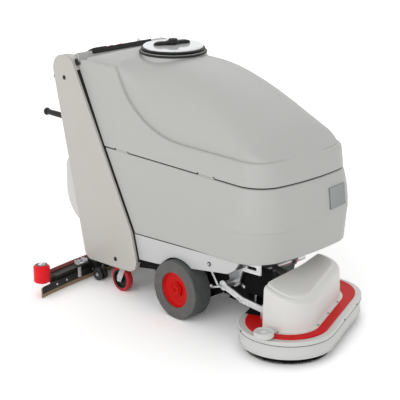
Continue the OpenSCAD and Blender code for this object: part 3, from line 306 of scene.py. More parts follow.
# Plain finishes: colour and roughness, and then what differs from the defaults above
PLAIN = {
    "tank_grey": dict(colour=(0.488, 0.491, 0.472), rough=0.46, drift=0.035, drift_scale=3.0,
                      grain=1100.0, bump=0.06, dust=0.04),
    "column_grey": dict(colour=(0.537, 0.514, 0.479), rough=0.42, drift=0.03, drift_scale=3.0,
                        grain=1500.0, dust=0.04),
    "plate_grey": dict(colour=(0.60, 0.60, 0.60), rough=0.38, drift=0.03, grain=1500.0, wear=0.15,
                       worn=(0.42, 0.42, 0.42)),
    "skirt_grey": dict(colour=(0.645, 0.651, 0.631), rough=0.4, drift=0.04, bump=0.06, dust=0.08),
    "hood_grey": dict(colour=(0.72, 0.715, 0.69), rough=0.38, drift=0.03, grain=1100.0, dust=0.05),
    "black_plastic": dict(colour=(0.011, 0.011, 0.01), rough=0.45, specular=0.25, drift=0.3,
                          drift_scale=9.0, grain=800.0, bump=0.12, dust=0.03, wear=0.2,
                          worn=(0.06, 0.06, 0.058)),
    "matt_black": dict(colour=(0.006, 0.006, 0.006), rough=0.8, specular=0.12, drift=0.3,
                       grain=700.0, bump=0.1, dust=0.02),
    "bristle_black": dict(colour=(0.006, 0.006, 0.006), rough=0.7, specular=0.05, drift=0.5,
                          drift_scale=60.0, grain=2000.0),
    "black_metal": dict(colour=(0.016, 0.016, 0.016), rough=0.36, drift=0.3, grain=1300.0,
                        bump=0.06, dust=0.04, wear=0.5, worn=(0.22, 0.22, 0.22)),
    "dark_metal": dict(colour=(0.035, 0.035, 0.036), rough=0.45, drift=0.3, grain=1300.0, bump=0.07,
                       dust=0.08, wear=0.4, worn=(0.18, 0.18, 0.18)),
    "cast_dark": dict(colour=(0.05, 0.05, 0.052), rough=0.6, drift=0.35, drift_scale=12.0,
                      grain=420.0, bump=0.35, depth=0.0008, dust=0.12, wear=0.4,
                      worn=(0.2, 0.2, 0.2)),
    "red_plastic": dict(colour=(0.83, 0.005, 0.014), rough=0.34, coat=0.1, specular=0.2, drift=0.08,
                        bump=0.04, dust=0.02),
    "hub_red": dict(colour=(0.56, 0.004, 0.003), rough=0.36, coat=0.04, specular=0.1, drift=0.06,
                    grain=1200.0, bump=0.04, dust=0.02),
    "castor_red": dict(colour=(0.5, 0.022, 0.034), rough=0.5, specular=0.25, drift=0.12,
                       drift_scale=12.0, grain=700.0, bump=0.08, dust=0.05),
    "red_paint": dict(colour=(0.62, 0.009, 0.009), rough=0.42, specular=0.06, drift=0.06,
                      grain=1500.0, bump=0.04, dust=0.03, wear=0.12, worn=(0.4, 0.35, 0.33)),
    "blade_rubber": dict(colour=(0.31, 0.215, 0.125), rough=0.6, drift=0.3, drift_scale=14.0,
                         grain=600.0, bump=0.1, dust=0.12),
    "red_rubber": dict(colour=(0.34, 0.085, 0.07), rough=0.55, drift=0.3, drift_scale=14.0,
                       grain=600.0, bump=0.1, dust=0.08),
    "dark_glass": dict(colour=(0.012, 0.016, 0.018), rough=0.08, coat=0.6, drift=0.1, grain=2000.0,
                       bump=0.01, dust=0.02),
    "lamp_green": dict(colour=(0.02, 0.22, 0.05), rough=0.2, coat=0.5, drift=0.1, grain=1500.0,
                       bump=0.02),
    "badge_satin": dict(colour=(0.26, 0.268, 0.27), rough=0.35, metallic=0.6, drift=0.1,
                        grain=1600.0),
}
FINISH = {name: plain_finish(name, **look) for name, look in PLAIN.items()}
FINISH.update(galvanised=zinc_finish(), tyre_rubber=tyre_finish(), clear_plastic=lid_finish())
SLOT_OF = {row["node"]: row["material_slot"] for row in frame["record"]["subparts"]}
SPECIAL = {"motor_cover": "hood_grey", "hub_right": "hub_red", "hub_left": "hub_red",
           "castor_tread_right": "castor_red", "castor_tread_left": "castor_red"}
for name, node in nodes.items():
    node.data.materials.clear()
    node.data.materials.append(FINISH[SPECIAL.get(name, SLOT_OF[name])])


# Modelling helpers
UPRIGHT = (0, 0, 0)
ACROSS = (math.pi / 2, 0, 0)
FORWARD = (0, math.pi / 2, 0)
FORE, LEFT, UP = Vector((1, 0, 0)), Vector((0, 1, 0)), Vector((0, 0, 1))
FINE = 96


def lift(height):
    return UP * height * MM


def heading(angle):
    """Level direction at an angle from straight ahead."""
    return Vector((math.cos(angle), math.sin(angle), 0))


def nothing_selected():
    if bpy.context.object and bpy.context.object.mode != "OBJECT":
        bpy.ops.object.mode_set(mode="OBJECT")
    bpy.ops.object.select_all(action="DESELECT")


def work_on(*objs):
    nothing_selected()
    for obj in objs:
        obj.select_set(True)
    bpy.context.view_layer.objects.active = objs[0]


def edit(obj, action="SELECT"):
    """Edit mode, with all of a piece selected or nothing."""
    work_on(obj)
    bpy.ops.object.mode_set(mode="EDIT")
    bpy.ops.mesh.select_all(action=action)


def leave_edit():
    bpy.ops.object.mode_set(mode="OBJECT")


def named(name):
    """The primitive that was just added, with its place taken into its mesh."""
    obj = bpy.context.object
    obj.name = obj.data.name = name
    bpy.ops.object.transform_apply(location=True, rotation=True, scale=True)
    return obj


def block(name, centre, size, turn=UPRIGHT):
    nothing_selected()
    bpy.ops.mesh.primitive_cube_add(size=1, location=centre, rotation=turn,
                                    scale=[v * MM for v in size])
    return named(name)


def drum(name, centre, radius, height, sides=48, turn=UPRIGHT):
    nothing_selected()
    bpy.ops.mesh.primitive_cylinder_add(vertices=sides, radius=radius * MM, depth=height * MM,
                                        location=centre, rotation=turn)
    return named(name)


def pick(obj, kind, parts, test):
    """Edit mode with only those faces or edges of a piece selected that pass a test."""
    edit(obj, "DESELECT")
    bpy.ops.mesh.select_mode(type=kind)
    leave_edit()
    for part in parts:
        part.select = test(part)
    bpy.ops.object.mode_set(mode="EDIT")


def pick_faces(obj, way, where=None, least=0.9):
    """Picks the faces that look a given way and whose centres pass a test."""
    pick(obj, "FACE", obj.data.polygons,
         lambda face: face.normal.dot(way) > least and (not where or where(face.center)))


def grow(by, scale=None, centre=None):
    """Extrudes the picked faces by a vector and then scales the new end about a centre."""
    bpy.ops.mesh.extrude_region_move(TRANSFORM_OT_translate={"value": [v * MM for v in by]})
    if scale:
        bpy.ops.transform.resize(value=scale, center_override=centre)


def inset_by(width):
    bpy.ops.mesh.inset(thickness=width * MM, depth=0)


def spin(steps, angle, centre, axis):
    """Sweeps the picked faces round an axis, left-handed for a positive angle."""
    bpy.ops.mesh.spin(steps=steps, angle=angle, center=centre, axis=axis)
    leave_edit()


def modified(obj, kind, **settings):
    """Gives a piece a modifier that stays live."""
    modifier = obj.modifiers.new(kind.lower(), kind)
    for label, value in settings.items():
        setattr(modifier, label, value)
    return modifier


def applied(obj, kind, **settings):
    """Gives a piece a modifier and takes its result into the mesh."""
    work_on(obj)
    bpy.ops.object.modifier_apply(modifier=modified(obj, kind, **settings).name)
    return obj


def smoothed(obj, angle=30):
    work_on(obj)
    bpy.ops.object.shade_smooth_by_angle(angle=math.radians(angle))
    return obj


def rounded_off(obj, width, segments=2, angle=35):
    """Bevels the hard edges and leaves smooth shading."""
    applied(obj, "BEVEL", width=width * MM, segments=segments, limit_method="ANGLE",
            angle_limit=math.radians(angle))
    return smoothed(obj, 40)


def trimmed(obj, cuts):
    """Cuts away what lies beyond planes, each a place and an outward way, and caps the cuts."""
    edit(obj)
    for place, outward in cuts:
        bpy.ops.mesh.select_all(action="SELECT")
        bpy.ops.mesh.bisect(plane_co=place, plane_no=outward.normalized(), use_fill=True,
                            clear_outer=True)
    leave_edit()
    return obj


def panel(name, corners, inner, outer, side):
    """Upright panel along the machine, cut to a convex outline of x and z, anticlockwise."""
    xs, zs = zip(*corners)
    middle = at((min(xs) + max(xs)) / 2, side * (inner + outer) / 2, (min(zs) + max(zs)) / 2)
    sheet = block(name, middle, (max(xs) - min(xs) + 2, outer - inner, max(zs) - min(zs) + 2))
    return trimmed(sheet, [(at(x, 0, z), Vector((next_z - z, 0, x - next_x)))
                           for (x, z), (next_x, next_z) in zip(corners, corners[1:] + corners[:1])])


def corner_rounded(sheet, x, z, reach, steps=8):
    """Rounds the corner of a panel at x and z, starting so far from it."""
    corner = at(x, 0, z)

    def upright_at_corner(edge):
        ends = [sheet.data.vertices[i].co for i in edge.vertices]
        return all(abs(v.x - corner.x) < MM and abs(v.z - corner.z) < MM for v in ends)

    pick(sheet, "EDGE", sheet.data.edges, upright_at_corner)
    bpy.ops.mesh.bevel(offset=reach * MM, segments=steps, affect="EDGES")
    leave_edit()


def bored(obj, cutter):
    """Takes the shape of the cutter out of a piece."""
    applied(obj, "BOOLEAN", operation="DIFFERENCE", object=cutter)
    bpy.data.objects.remove(cutter)
    return obj


def joined(name, parts):
    work_on(*parts)
    if len(parts) > 1:
        bpy.ops.object.join()
    obj = bpy.context.object
    obj.name = obj.data.name = name
    return obj


def mirrored(obj):
    """A copy with its own mesh, on the other side of the machine."""
    twin = obj.copy()
    twin.data = obj.data.copy()
    bpy.context.scene.collection.objects.link(twin)
    twin.data.transform(Matrix.Scale(-1, 4, LEFT))
    edit(twin)
    bpy.ops.mesh.flip_normals()
    leave_edit()
    return twin


def fitted(obj, body, slot, *instead_of, finish=None):
    """Gives a finished piece its body and the finish that goes with its slot, or another finish."""
    nothing_selected()
    obj.data.materials.clear()
    obj.data.materials.append(FINISH[finish or slot])
    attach(obj, body)
    if instead_of:
        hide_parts(*instead_of)
    return obj


USUAL_HARD = 32
WELD = 0.02


def make_soft_shade():
    """Geometry nodes that join a CAD node's facets and shade across all but its hard edges."""
    tree = bpy.data.node_groups.new("soft_shade", "GeometryNodeTree")
    tree.is_modifier = True
    tree.interface.new_socket("Geometry", in_out="INPUT", socket_type="NodeSocketGeometry")
    limit = tree.interface.new_socket("Hard Angle", in_out="INPUT", socket_type="NodeSocketFloat")
    limit.default_value = math.radians(USUAL_HARD)
    tree.interface.new_socket("Geometry", in_out="OUTPUT", socket_type="NodeSocketGeometry")
    given = tree.nodes.new("NodeGroupInput").outputs
    weld = add_node(tree, "GeometryNodeMergeByDistance", {"Geometry": given["Geometry"],
                                                          "Distance": WELD * MM})
    hard = tree.nodes.new("FunctionNodeCompare")
    hard.operation = "GREATER_THAN"
    angle = tree.nodes.new("GeometryNodeInputMeshEdgeAngle").outputs["Unsigned Angle"]
    feed(tree, angle, hard.inputs[0])
    feed(tree, given["Hard Angle"], hard.inputs[1])
    normals = tree.nodes.new("GeometryNodeSetMeshNormal")
    normals.mode = "SHARPNESS"
    for label, value in (("Mesh", weld.outputs["Geometry"]), ("Edge Sharpness", hard.outputs[0]),
                         ("Remove Custom", True), ("Face Sharpness", False)):
        feed(tree, value, normals.inputs[label])
    feed(tree, normals.outputs["Mesh"], tree.nodes.new("NodeGroupOutput").inputs["Geometry"])
    return tree


SOFT_SHADE = make_soft_shade()
FLAT_ANGLE = 0.3


def soften(name, width, angle):
    """Shades a CAD node smooth and rounds its edges a little; its own mesh stays as it is."""
    obj = nodes[name]
    shade = modified(obj, "NODES", node_group=SOFT_SHADE)
    shade[SOFT_SHADE.interface.items_tree["Hard Angle"].identifier] = math.radians(angle)
    if width:
        modified(obj, "DECIMATE", decimate_type="DISSOLVE", angle_limit=math.radians(FLAT_ANGLE))
        modified(obj, "BEVEL", width=width * MM, segments=2, limit_method="ANGLE",
                 angle_limit=math.radians(angle))
    modified(obj, "WEIGHTED_NORMAL", keep_sharp=True)


# Floor and light: each sun's strength, width in degrees and turn
FLOOR_TONE, FLOOR_GAIN = 0.9, 1.62
FLOOR_SIZE, FLOOR_DROP = 60, 0.5
HORIZON, ZENITH = 1.04, 0.42
SUNS = (("key", 0.95, 60, (68, 0, 12)), ("fill", 0.2, 80, (72, 0, 100)),
        ("top", 0.46, 45, (44, 0, 215)))


def show_where_seen(tree, plain, seen, output):
    """Gives an output one shader for the light it sends and another where it is looked at."""
    path = tree.nodes.new("ShaderNodeLightPath").outputs
    indirect = math_node(tree, "MAXIMUM", path["Is Glossy Ray"], path["Is Transmission Ray"])
    looked_at = math_node(tree, "MAXIMUM", path["Is Camera Ray"], indirect)
    mix = add_node(tree, "ShaderNodeMixShader", {0: looked_at, 1: plain.outputs[0],
                                                 2: seen.outputs[0]})
    feed(tree, mix.outputs[0], tree.nodes[output].inputs["Surface"])


def make_floor():
    """Pale floor that is seen a little brighter than the light it throws back."""
    nothing_selected()
    bpy.ops.mesh.primitive_plane_add(size=FLOOR_SIZE, location=(0, 0, -FLOOR_DROP * MM))
    floor = named("floor")
    made, tree, shader = new_material("studio_floor")
    tree.nodes.remove(shader)
    pale, seen = (add_node(tree, "ShaderNodeBsdfDiffuse", {"Color": (tone, tone, tone, 1)})
                  for tone in (FLOOR_TONE, FLOOR_TONE * FLOOR_GAIN))
    show_where_seen(tree, pale, seen, "Material Output")
    floor.data.materials.append(made)


def make_world():
    """Light tent: brighter round the horizon than overhead, and plain white where it is seen."""
    world = bpy.data.worlds.new("studio")
    world.use_nodes = True
    bpy.context.scene.world = world
    tree = world.node_tree
    tent = tree.nodes["Background"]
    tent.inputs["Color"].default_value = (1, 1, 1, 1)
    height = split(tree, coordinate(tree, "Generated"))["Z"]
    feed(tree, span(tree, height, 0.0, 0.9, HORIZON, ZENITH), tent.inputs["Strength"])
    white = add_node(tree, "ShaderNodeBackground", {"Color": (1, 1, 1, 1)})
    show_where_seen(tree, tent, white, "World Output")


def set_stage():
    make_floor()
    make_world()
    for label, energy, spread, turn in SUNS:
        lamp = bpy.data.lights.new(label, "SUN")
        lamp.energy = energy
        lamp.angle = math.radians(spread)
        holder = bpy.data.objects.new(label, lamp)
        holder.rotation_euler = [math.radians(v) for v in turn]
        bpy.context.scene.collection.objects.link(holder)
    bpy.context.scene.view_settings.view_transform = "Standard"


set_stage()


# Moulded neck of the recovery tank, flared in steps of drop and ratio where it leaves the dome
LID_X = -316
NECK_TOP, NECK_LOW = 1012.5, 955
NECK_R, NECK_WALL, COLLAR_H = 133.5, 21, 12
NECK_FLARE = ((9, 1.004), (8, 1.02), (7, 1.035), (6, 1.05), (5, 1.065), (4, 1.08))
RIB_R, RIB_HALF = 136, 4.8


def make_neck():
    middle = at(LID_X, 0, NECK_TOP - COLLAR_H / 2)
    collar = drum("neck_collar", middle, NECK_R, COLLAR_H, FINE)
    pick_faces(collar, -UP)
    for drop, ratio in NECK_FLARE:
        grow((0, 0, -drop), (ratio, ratio, 1), at(LID_X, 0, 0))
    pick_faces(collar, UP)
    inset_by(NECK_WALL)
    grow((0, 0, NECK_LOW - NECK_TOP))
    fitted(rounded_off(collar, 1.6, 3, 50), "tank", "tank_grey", "tank_neck")
    nothing_selected()
    bpy.ops.mesh.primitive_torus_add(major_radius=RIB_R * MM, minor_radius=RIB_HALF * MM,
                                     major_segments=FINE, minor_segments=12, location=middle)
    rib = named("neck_rib")
    bpy.ops.object.shade_smooth()
    fitted(rib, "tank", "black_plastic")


# Lid handle: a raised hub with two wings, drawn out in steps of reach, width and height
LID_TOP = 1033
GRIP_R, GRIP_H, GRIP_SIDES = 25, 18, 12
WING_TURNS, WING_FROM, CAP_R = (77, 243), 20, 12
WING_STEPS = ((10, 1.2, 0.8), (22, 1.1, 1.15), (18, 0.8, 0.8), (10, 0.45, 0.4))
CAP_STEPS = ((5, 7), (4, -2))


def make_lid_handle():
    top = at(LID_X, 0, LID_TOP)
    hub = drum("lid_wings", top + lift(GRIP_H / 2), GRIP_R, GRIP_H, GRIP_SIDES)
    for turn in WING_TURNS:
        wing = heading(math.radians(turn))
        pick_faces(hub, wing, lambda c: (c - top).dot(wing) > WING_FROM * MM, 0.85)
        for reach, width, height in WING_STEPS:
            grow(wing * reach)
            hub.update_from_editmode()
            chosen = [f.center for f in hub.data.polygons if f.select]
            middle = sum(chosen, Vector()) / len(chosen)
            bpy.ops.transform.resize(value=(width, width, height),
                                     center_override=(middle.x, middle.y, top.z))
    pick_faces(hub, UP, lambda c: (c - top).xy.length < CAP_R * MM)
    for ring, rise in CAP_STEPS:
        inset_by(ring)
        grow((0, 0, rise))
    applied(hub, "SUBSURF", levels=2, render_levels=2)
    fitted(smoothed(hub, 50), "lid", "black_plastic", "lid_handle")


make_neck()
make_lid_handle()


# Outline of the tanks in plan: straight sides, round corners, shallow bow
HALF_W = 270
CORNER_X, CORNER_Y = 325.2, 150
BOW_X = -621.9
BOW_ANGLE = math.radians(9)
CORNER_STEPS, BOW_STEPS = 14, 8
PARTING_Z = 625
SEAM_START, SEAM_IN, SEAM_SECTION = -440, 8.5, (10, 5.2)
BOW_FROM = at(400, -175, 0)
# Front edge of the columns
COLUMN_FOOT = (-273, 297)
COLUMN_SLOPE = -364 / 679
COLUMN_LEAN = math.atan(COLUMN_SLOPE)


def column_front(z):
    return COLUMN_FOOT[0] + COLUMN_SLOPE * (z - COLUMN_FOOT[1])


def make_seam():
    """Black strip inside the gap between the tanks, painted shade that darkens the seam: one side,
    its corner and half the bow, and then mirrored.
    """
    half = block("seam_shade_strip", at((SEAM_START + CORNER_X) / 2, SEAM_IN - HALF_W, PARTING_Z),
                 (CORNER_X - SEAM_START, *SEAM_SECTION))
    pick_faces(half, FORE)
    spin(CORNER_STEPS, math.pi / 2 - BOW_ANGLE, at(CORNER_X, -CORNER_Y, 0), -UP)
    pick_faces(half, LEFT, lambda c: c.y > BOW_FROM.y and c.x > BOW_FROM.x)
    spin(BOW_STEPS, BOW_ANGLE, at(BOW_X, 0, 0), -UP)
    fitted(joined("seam_shade_strip", [smoothed(half), mirrored(half)]), "chassis", "black_plastic")


# Black strips in the gaps ahead of the columns, painted shade that darkens the gaps; the lower one
# has its x, z, length and lean
GAP_Y, STRIP_SECTION, STRIP_TOP = 257.7, (2, 36), 922
LOWER_STRIP = (-254, 234, 132, math.atan(-45 / 173))
STRIP_AHEAD, PLUG_AHEAD = 1.8, 10
PLUG_Y, PLUG_Z, PLUG_SIZE = 267.5, 954, (13, 9, 27)


def make_gap_shade_strips():
    """Black strips beside the columns, painted shade in the gaps, with a black plug above each
    pair.
    """
    low = COLUMN_FOOT[1]
    middle = (low + STRIP_TOP) / 2
    upper = (column_front(middle) + STRIP_AHEAD, middle, (STRIP_TOP - low) / math.cos(COLUMN_LEAN),
             COLUMN_LEAN)
    strips = []
    for side in SIDES:
        for x, z, length, lean in (upper, LOWER_STRIP):
            strips.append(block("strip", at(x, side * GAP_Y, z), (*STRIP_SECTION, length),
                                (0, lean, 0)))
        place = at(column_front(PLUG_Z) + PLUG_AHEAD, side * PLUG_Y, PLUG_Z)
        plug = block("plug", place, PLUG_SIZE, (0, COLUMN_LEAN, 0))
        strips.append(rounded_off(plug, 1.5))
    fitted(joined("gap_shade_strips", strips), "chassis", "black_plastic")


# Tabs that bridge the seam between clips, and the bare plate on the nose
TAB_ENDS = ((-376, -299), (110, 197))
TAB_Y, TAB_Z, TAB_SECTION = 265.8, PARTING_Z - 0.6, (8, 4.8)
CLIP_Y, CLIP_Z, CLIP_SIZE = 268.9, 630, (9, 4, 3.8)
NOSE_PLACE, NOSE_SIZE, NOSE_TURN = at(468.6, 134, 531), (6, 104, 84), math.radians(7)
NOSE_RIM, NOSE_SINK = 4, 0.8


def make_trim():
    tabs, clips = [], []
    for side in SIDES:
        for start, end in TAB_ENDS:
            tab = block("tab", at((start + end) / 2, side * TAB_Y, TAB_Z),
                        (end - start, *TAB_SECTION))
            tabs.append(rounded_off(tab, 1.2))
            for x in (start, end):
                clip = block("clip", at(x, side * CLIP_Y, CLIP_Z), CLIP_SIZE)
                clips.append(rounded_off(clip, 0.8))
    fitted(joined("seam_tabs", tabs), "chassis", "tank_grey")
    fitted(joined("seam_clips", clips), "tank", "black_plastic")
    plate = block("nose_plate", NOSE_PLACE, NOSE_SIZE, (0, -NOSE_TURN, NOSE_TURN))
    pick_faces(plate, FORE)
    inset_by(NOSE_RIM)
    grow((-NOSE_SINK, 0, 0))
    fitted(rounded_off(plate, 0.7, 3), "chassis", "galvanised", finish="badge_satin")


make_seam()
make_gap_shade_strips()
make_trim()


# Pressed faces of the columns: x, z and how far from each corner its rounding starts
COLUMN_OUTLINE = ((-570, 106, 31.3), (-400, 112, 3.5), (-228, 124, 62.6), (-273, 297, 14.3),
                  (-637, 976, 34.7), (-773, 976, 83.1))
COLUMN_IN, COLUMN_OUT = 280.5, 285.5
# Side plates under the tank, with an arch close round the wheel and a seal along the tank's floor
ARCH, CUTTER_H = 128, 20
PLATE_OUTLINE = [(-238, 182.1), (-132, 192.7), (272, 261), (310, 285), (332, 317), (336, 323.6),
                 (-266, 289.9)]
PLATE_IN, PLATE_OUT = 262, 270
FLOOR_SLOPE = math.tan(math.radians(3.2))
FLOOR_Z = 304.9
SEAL_X, SEAL_Y, SEAL_SIZE = 36, 269.2, (596, 3.2, 3.2)


def make_column_faces():
    faces = []
    for side in SIDES:
        face = panel("face", [(x, z) for x, z, _ in COLUMN_OUTLINE], COLUMN_IN, COLUMN_OUT, side)
        for corner in COLUMN_OUTLINE:
            corner_rounded(face, *corner)
        faces.append(rounded_off(face, 1.8, 3, 50))
    fitted(joined("column_faces", faces), "chassis", "column_grey")


def make_side_plates():
    plates, seals = [], []
    for side in SIDES:
        plate = panel("plate", PLATE_OUTLINE, PLATE_IN, PLATE_OUT, side)
        middle = side * (PLATE_IN + PLATE_OUT) / 2
        wheel = drum("arch", at(0, middle, WHEEL_Z), ARCH, CUTTER_H, FINE, ACROSS)
        plates.append(rounded_off(bored(plate, wheel), 1.2))
        seal_place = at(SEAL_X, side * SEAL_Y, FLOOR_Z + FLOOR_SLOPE * SEAL_X)
        seals.append(block("seal", seal_place, SEAL_SIZE, (0, -math.atan(FLOOR_SLOPE), 0)))
    fitted(joined("side_plates", plates), "chassis", "plate_grey", "chassis_plates")
    fitted(joined("plate_seals", seals), "chassis", "black_plastic")


# Black strips inside the arches over the drive wheels, painted shade in the arch gaps, and outlines
# and faces of the frame that shows behind them
ARCH_SHADE_START, ARCH_SHADE_SWEEP, ARCH_SHADE_STEPS = math.radians(60), math.radians(95), 30
ARCH_SHADE_Y, ARCH_SHADE_R, ARCH_SHADE_SIZE = 235, ARCH - 0.5, (2.4, 54, 2)
FRAME_PANELS = (([(-250, 140), (-131, 163), (-131, 198), (-250, 198)], 252, 260),
                ([(-160, 126), (-148, 126), (-146, 190), (-162, 190)], 244, 252))


def make_wheel_houses():
    out = Vector((math.cos(ARCH_SHADE_START), 0, math.sin(ARCH_SHADE_START)))
    parts = []
    for side in SIDES:
        arch_shade = block("arch_shade", at(0, side * ARCH_SHADE_Y, WHEEL_Z) + out * ARCH_SHADE_R * MM, ARCH_SHADE_SIZE,
                      (0, -ARCH_SHADE_START, 0))
        pick_faces(arch_shade, Vector((-out.z, 0, out.x)))
        spin(ARCH_SHADE_STEPS, ARCH_SHADE_SWEEP, at(0, 0, WHEEL_Z), LEFT)
        parts.append(smoothed(arch_shade))
        for outline, inner, outer in FRAME_PANELS:
            parts.append(rounded_off(panel("frame", outline, inner, outer, side), 1.5))
    fitted(joined("wheel_houses", parts), "chassis", "black_plastic", finish="matt_black")


# Black apron sheets under the right side, standing partly for the black parts under the body and
# partly as painted shade of the dark underside: outlines, distance out, and whether the arms' tube
# goes through
ARM_PIVOT, TUBE_BORE = (216, 188), 18
APRON_Y, APRON_T = 148, 4
APRON = (([(44, 60), (135, 112), (135, 272), (44, 272)], APRON_Y, False),
         ([(134, 110), (276, 110), (276, 272), (134, 272)], APRON_Y, True),
         ([(275, 152), (394, 152), (394, 278), (275, 272)], APRON_Y, False),
         ([(120, 70), (257, 70), (257, 272), (120, 272)], 100, True))


def make_apron():
    parts = []
    for outline, y, tube in APRON:
        sheet = panel("sheet", outline, y - APRON_T / 2, y + APRON_T / 2, -1)
        if tube:
            pivot = at(ARM_PIVOT[0], -y, ARM_PIVOT[1])
            bored(sheet, drum("bore", pivot, TUBE_BORE, CUTTER_H, turn=ACROSS))
        parts.append(rounded_off(sheet, 0.8))
    fitted(joined("shade_apron", parts), "chassis", "black_plastic", finish="matt_black")


make_column_faces()
make_side_plates()
make_wheel_houses()
make_apron()


# Bristles: rings of tapered strands, each with its radius, count and lean, round a core on a slice
BRUSH_LOW, BRUSH_TOP = 1.0, 31.0
STRAND_TIP, STRAND_ROOT = 1.1, 2.6
RINGS = ((157, 176, 3), (150, 156, 2), (142, 110, 2), (132, 96, 0), (120, 84, 0), (106, 72, 0))
CORE_R, CORE_H, CORE_Z = 156, 25, 18.5
SLICE_R, SLICE_T, SLICE_Z = 160, 4, 32


def strand(radius, lean):
    nothing_selected()
    bpy.ops.mesh.primitive_cone_add(
        vertices=3, radius1=STRAND_TIP * MM, radius2=STRAND_ROOT * MM,
        depth=(BRUSH_TOP - BRUSH_LOW) * MM,
        location=FORE * radius * MM + lift((BRUSH_TOP + BRUSH_LOW) / 2))
    made = named("strand")
    pick_faces(made, -UP)
    bpy.ops.transform.translate(value=FORE * lean * MM)
    leave_edit()
    return made


def brush_centre(side):
    low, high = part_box("brush_" + side)
    return Vector(((low.x + high.x) / 2, (low.y + high.y) / 2, 0))


def make_bristles(side):
    centre = brush_centre(side)
    rings = []
    pivot = bpy.data.objects.new("pivot", None)
    bpy.context.scene.collection.objects.link(pivot)
    for radius, count, lean in RINGS:
        ring = strand(radius, lean)
        pivot.rotation_euler = (0, 0, 2 * math.pi / count)
        bpy.context.view_layer.update()
        applied(ring, "ARRAY", count=count, use_relative_offset=False, use_object_offset=True,
                offset_object=pivot)
        ring.data.transform(Matrix.Translation(centre))
        rings.append(ring)
    bpy.data.objects.remove(pivot)
    rings.append(rounded_off(drum("slice", centre + lift(SLICE_Z), SLICE_R, SLICE_T, FINE), 1))
    rings.append(rounded_off(drum("core", centre + lift(CORE_Z), CORE_R, CORE_H, FINE), 3))
    fitted(joined("tufts_" + side, rings), "brush_" + side, "black_plastic", "bristles_" + side,
           finish="bristle_black")


for side in ("right", "left"):
    make_bristles(side)


# Squeegee blades: rubber strips on the curve of the body, cut across to bend, with thinned lips
BLADE_X, BLADE_CURVE, BLADE_PITCH = -606, 2400, 52
BLADE_T, BLADE_LOW, BLADE_CUTS = 5, 1, 47
LIP_BANDS, LIP_THIN = (9, 20), 0.5
# Half length and top of each blade
FRONT_BLADE, REAR_BLADE = (552, 45), (452, 82)


def blade_at(y):
    return BLADE_X + BLADE_CURVE - math.sqrt(BLADE_CURVE ** 2 - y ** 2)


def make_blade(name, front, half, top):
    strip = block(name, at(front - BLADE_T / 2, 0, (BLADE_LOW + top) / 2),
                  (BLADE_T, 2 * half, top - BLADE_LOW))
    cuts = [(at(0, 0, height), UP) for height in LIP_BANDS]
    cuts += [(at(0, -half + 2 * half * i / BLADE_CUTS, 0), LEFT) for i in range(1, BLADE_CUTS)]
    edit(strip)
    for place, way in cuts:
        bpy.ops.mesh.bisect(plane_co=place, plane_no=way)
        bpy.ops.mesh.select_all(action="SELECT")
    pick_faces(strip, -UP)
    bpy.ops.transform.resize(value=(LIP_THIN, 1, 1), center_override=at(front, 0, 0))
    leave_edit()
    for vertex in strip.data.vertices:
        vertex.co.x += (blade_at(vertex.co.y / MM) - BLADE_X) * MM
    return rounded_off(strip, 0.6)


front_lip = make_blade("squeegee_front_lip", BLADE_X + BLADE_T, *FRONT_BLADE)
fitted(front_lip, "squeegee", "blade_rubber", "blades")
rear_lip = make_blade("squeegee_rear_lip", BLADE_X - BLADE_PITCH + BLADE_T, *REAR_BLADE)
fitted(rear_lip, "squeegee", "blade_rubber", finish="red_rubber")


# Small fittings: drums by radius, height and number of sides, hexagon heads by radius and height
CLAMP_HEX, ROLLER_HEX, STAY_HEX = (5, 4), (10, 6.5), (6, 5)
SUPPORT_HEX, ARM_HEX = (5.5, 4), (6, 4)
HEX_WASHER_T, HEX_WASHER_RATIO = 1.2, 1.5
STUD, NUT = (3, 18, 16), (6.5, 8, 24)
EAR_SIZE, EAR_OUT, EAR_Z, EAR_TILT = (12, 3, 11), 10, 9, math.radians(20)


def stepped(obj, side, *steps):
    """Insets the outer face of a drum by the width of each ring and moves the rest so far out."""
    pick_faces(obj, LEFT * side)
    for ring, out in steps:
        inset_by(ring)
        grow((0, side * out, 0))
    return obj


def hex_bolt(name, centre, radius, height, turn=UPRIGHT):
    """Hexagon head on a washer; centre is where the washer sits."""
    up = Euler(turn).to_matrix() @ UP
    washer = drum(name + "_washer", centre + up * HEX_WASHER_T / 2 * MM, radius * HEX_WASHER_RATIO,
                  HEX_WASHER_T, 32, turn)
    head = drum(name, centre + up * (HEX_WASHER_T + height / 2) * MM, radius, height, 6, turn)
    return joined(name, [rounded_off(washer, 0.3), rounded_off(head, 0.6)])


def wing_nut(centre, angle):
    """Wing nut on its stud; centre is where the nut sits."""
    nut = rounded_off(drum("nut", centre + lift(NUT[1] / 2), *NUT), 1)
    parts = [drum("stud", centre + lift(STUD[1] / 2), *STUD), nut]
    for way in SIDES:
        ear = block("ear", centre + heading(angle) * way * EAR_OUT * MM + lift(EAR_Z), EAR_SIZE,
                    (0, -EAR_TILT * way, angle))
        parts.append(rounded_off(ear, 1.2))
    return joined("wing_nut", parts)


# Socket-head bolts of the columns and side plates: x, z, the face they sit on, and whether bright
SIDE_BOLTS = ((-681, 881, COLUMN_OUT, False), (-373, 152, COLUMN_OUT, False),
              (174, 275, PLATE_OUT, True))
WASHER, HEAD, SOCKET = (9.8, 1.5, 40), (5, 4, 36), (2, -2.4)
HEAD_OUT = 2.5


def make_bolts():
    """Heads on dark washers."""
    dark, bright = [], []
    for side in SIDES:
        out = LEFT * side * MM
        for x, z, face, is_bright in SIDE_BOLTS:
            place = at(x, side * face, z)
            washer = drum("washer", place + out * WASHER[1] / 2, *WASHER, ACROSS)
            head = stepped(drum("head", place + out * HEAD_OUT, *HEAD, ACROSS), side, SOCKET)
            dark.append(rounded_off(washer, 0.5))
            (bright if is_bright else dark).append(rounded_off(head, 0.6))
    fitted(joined("bolt_washers", dark), "chassis", "black_metal")
    fitted(joined("bolt_heads", bright), "chassis", "galvanised", "side_bolts")


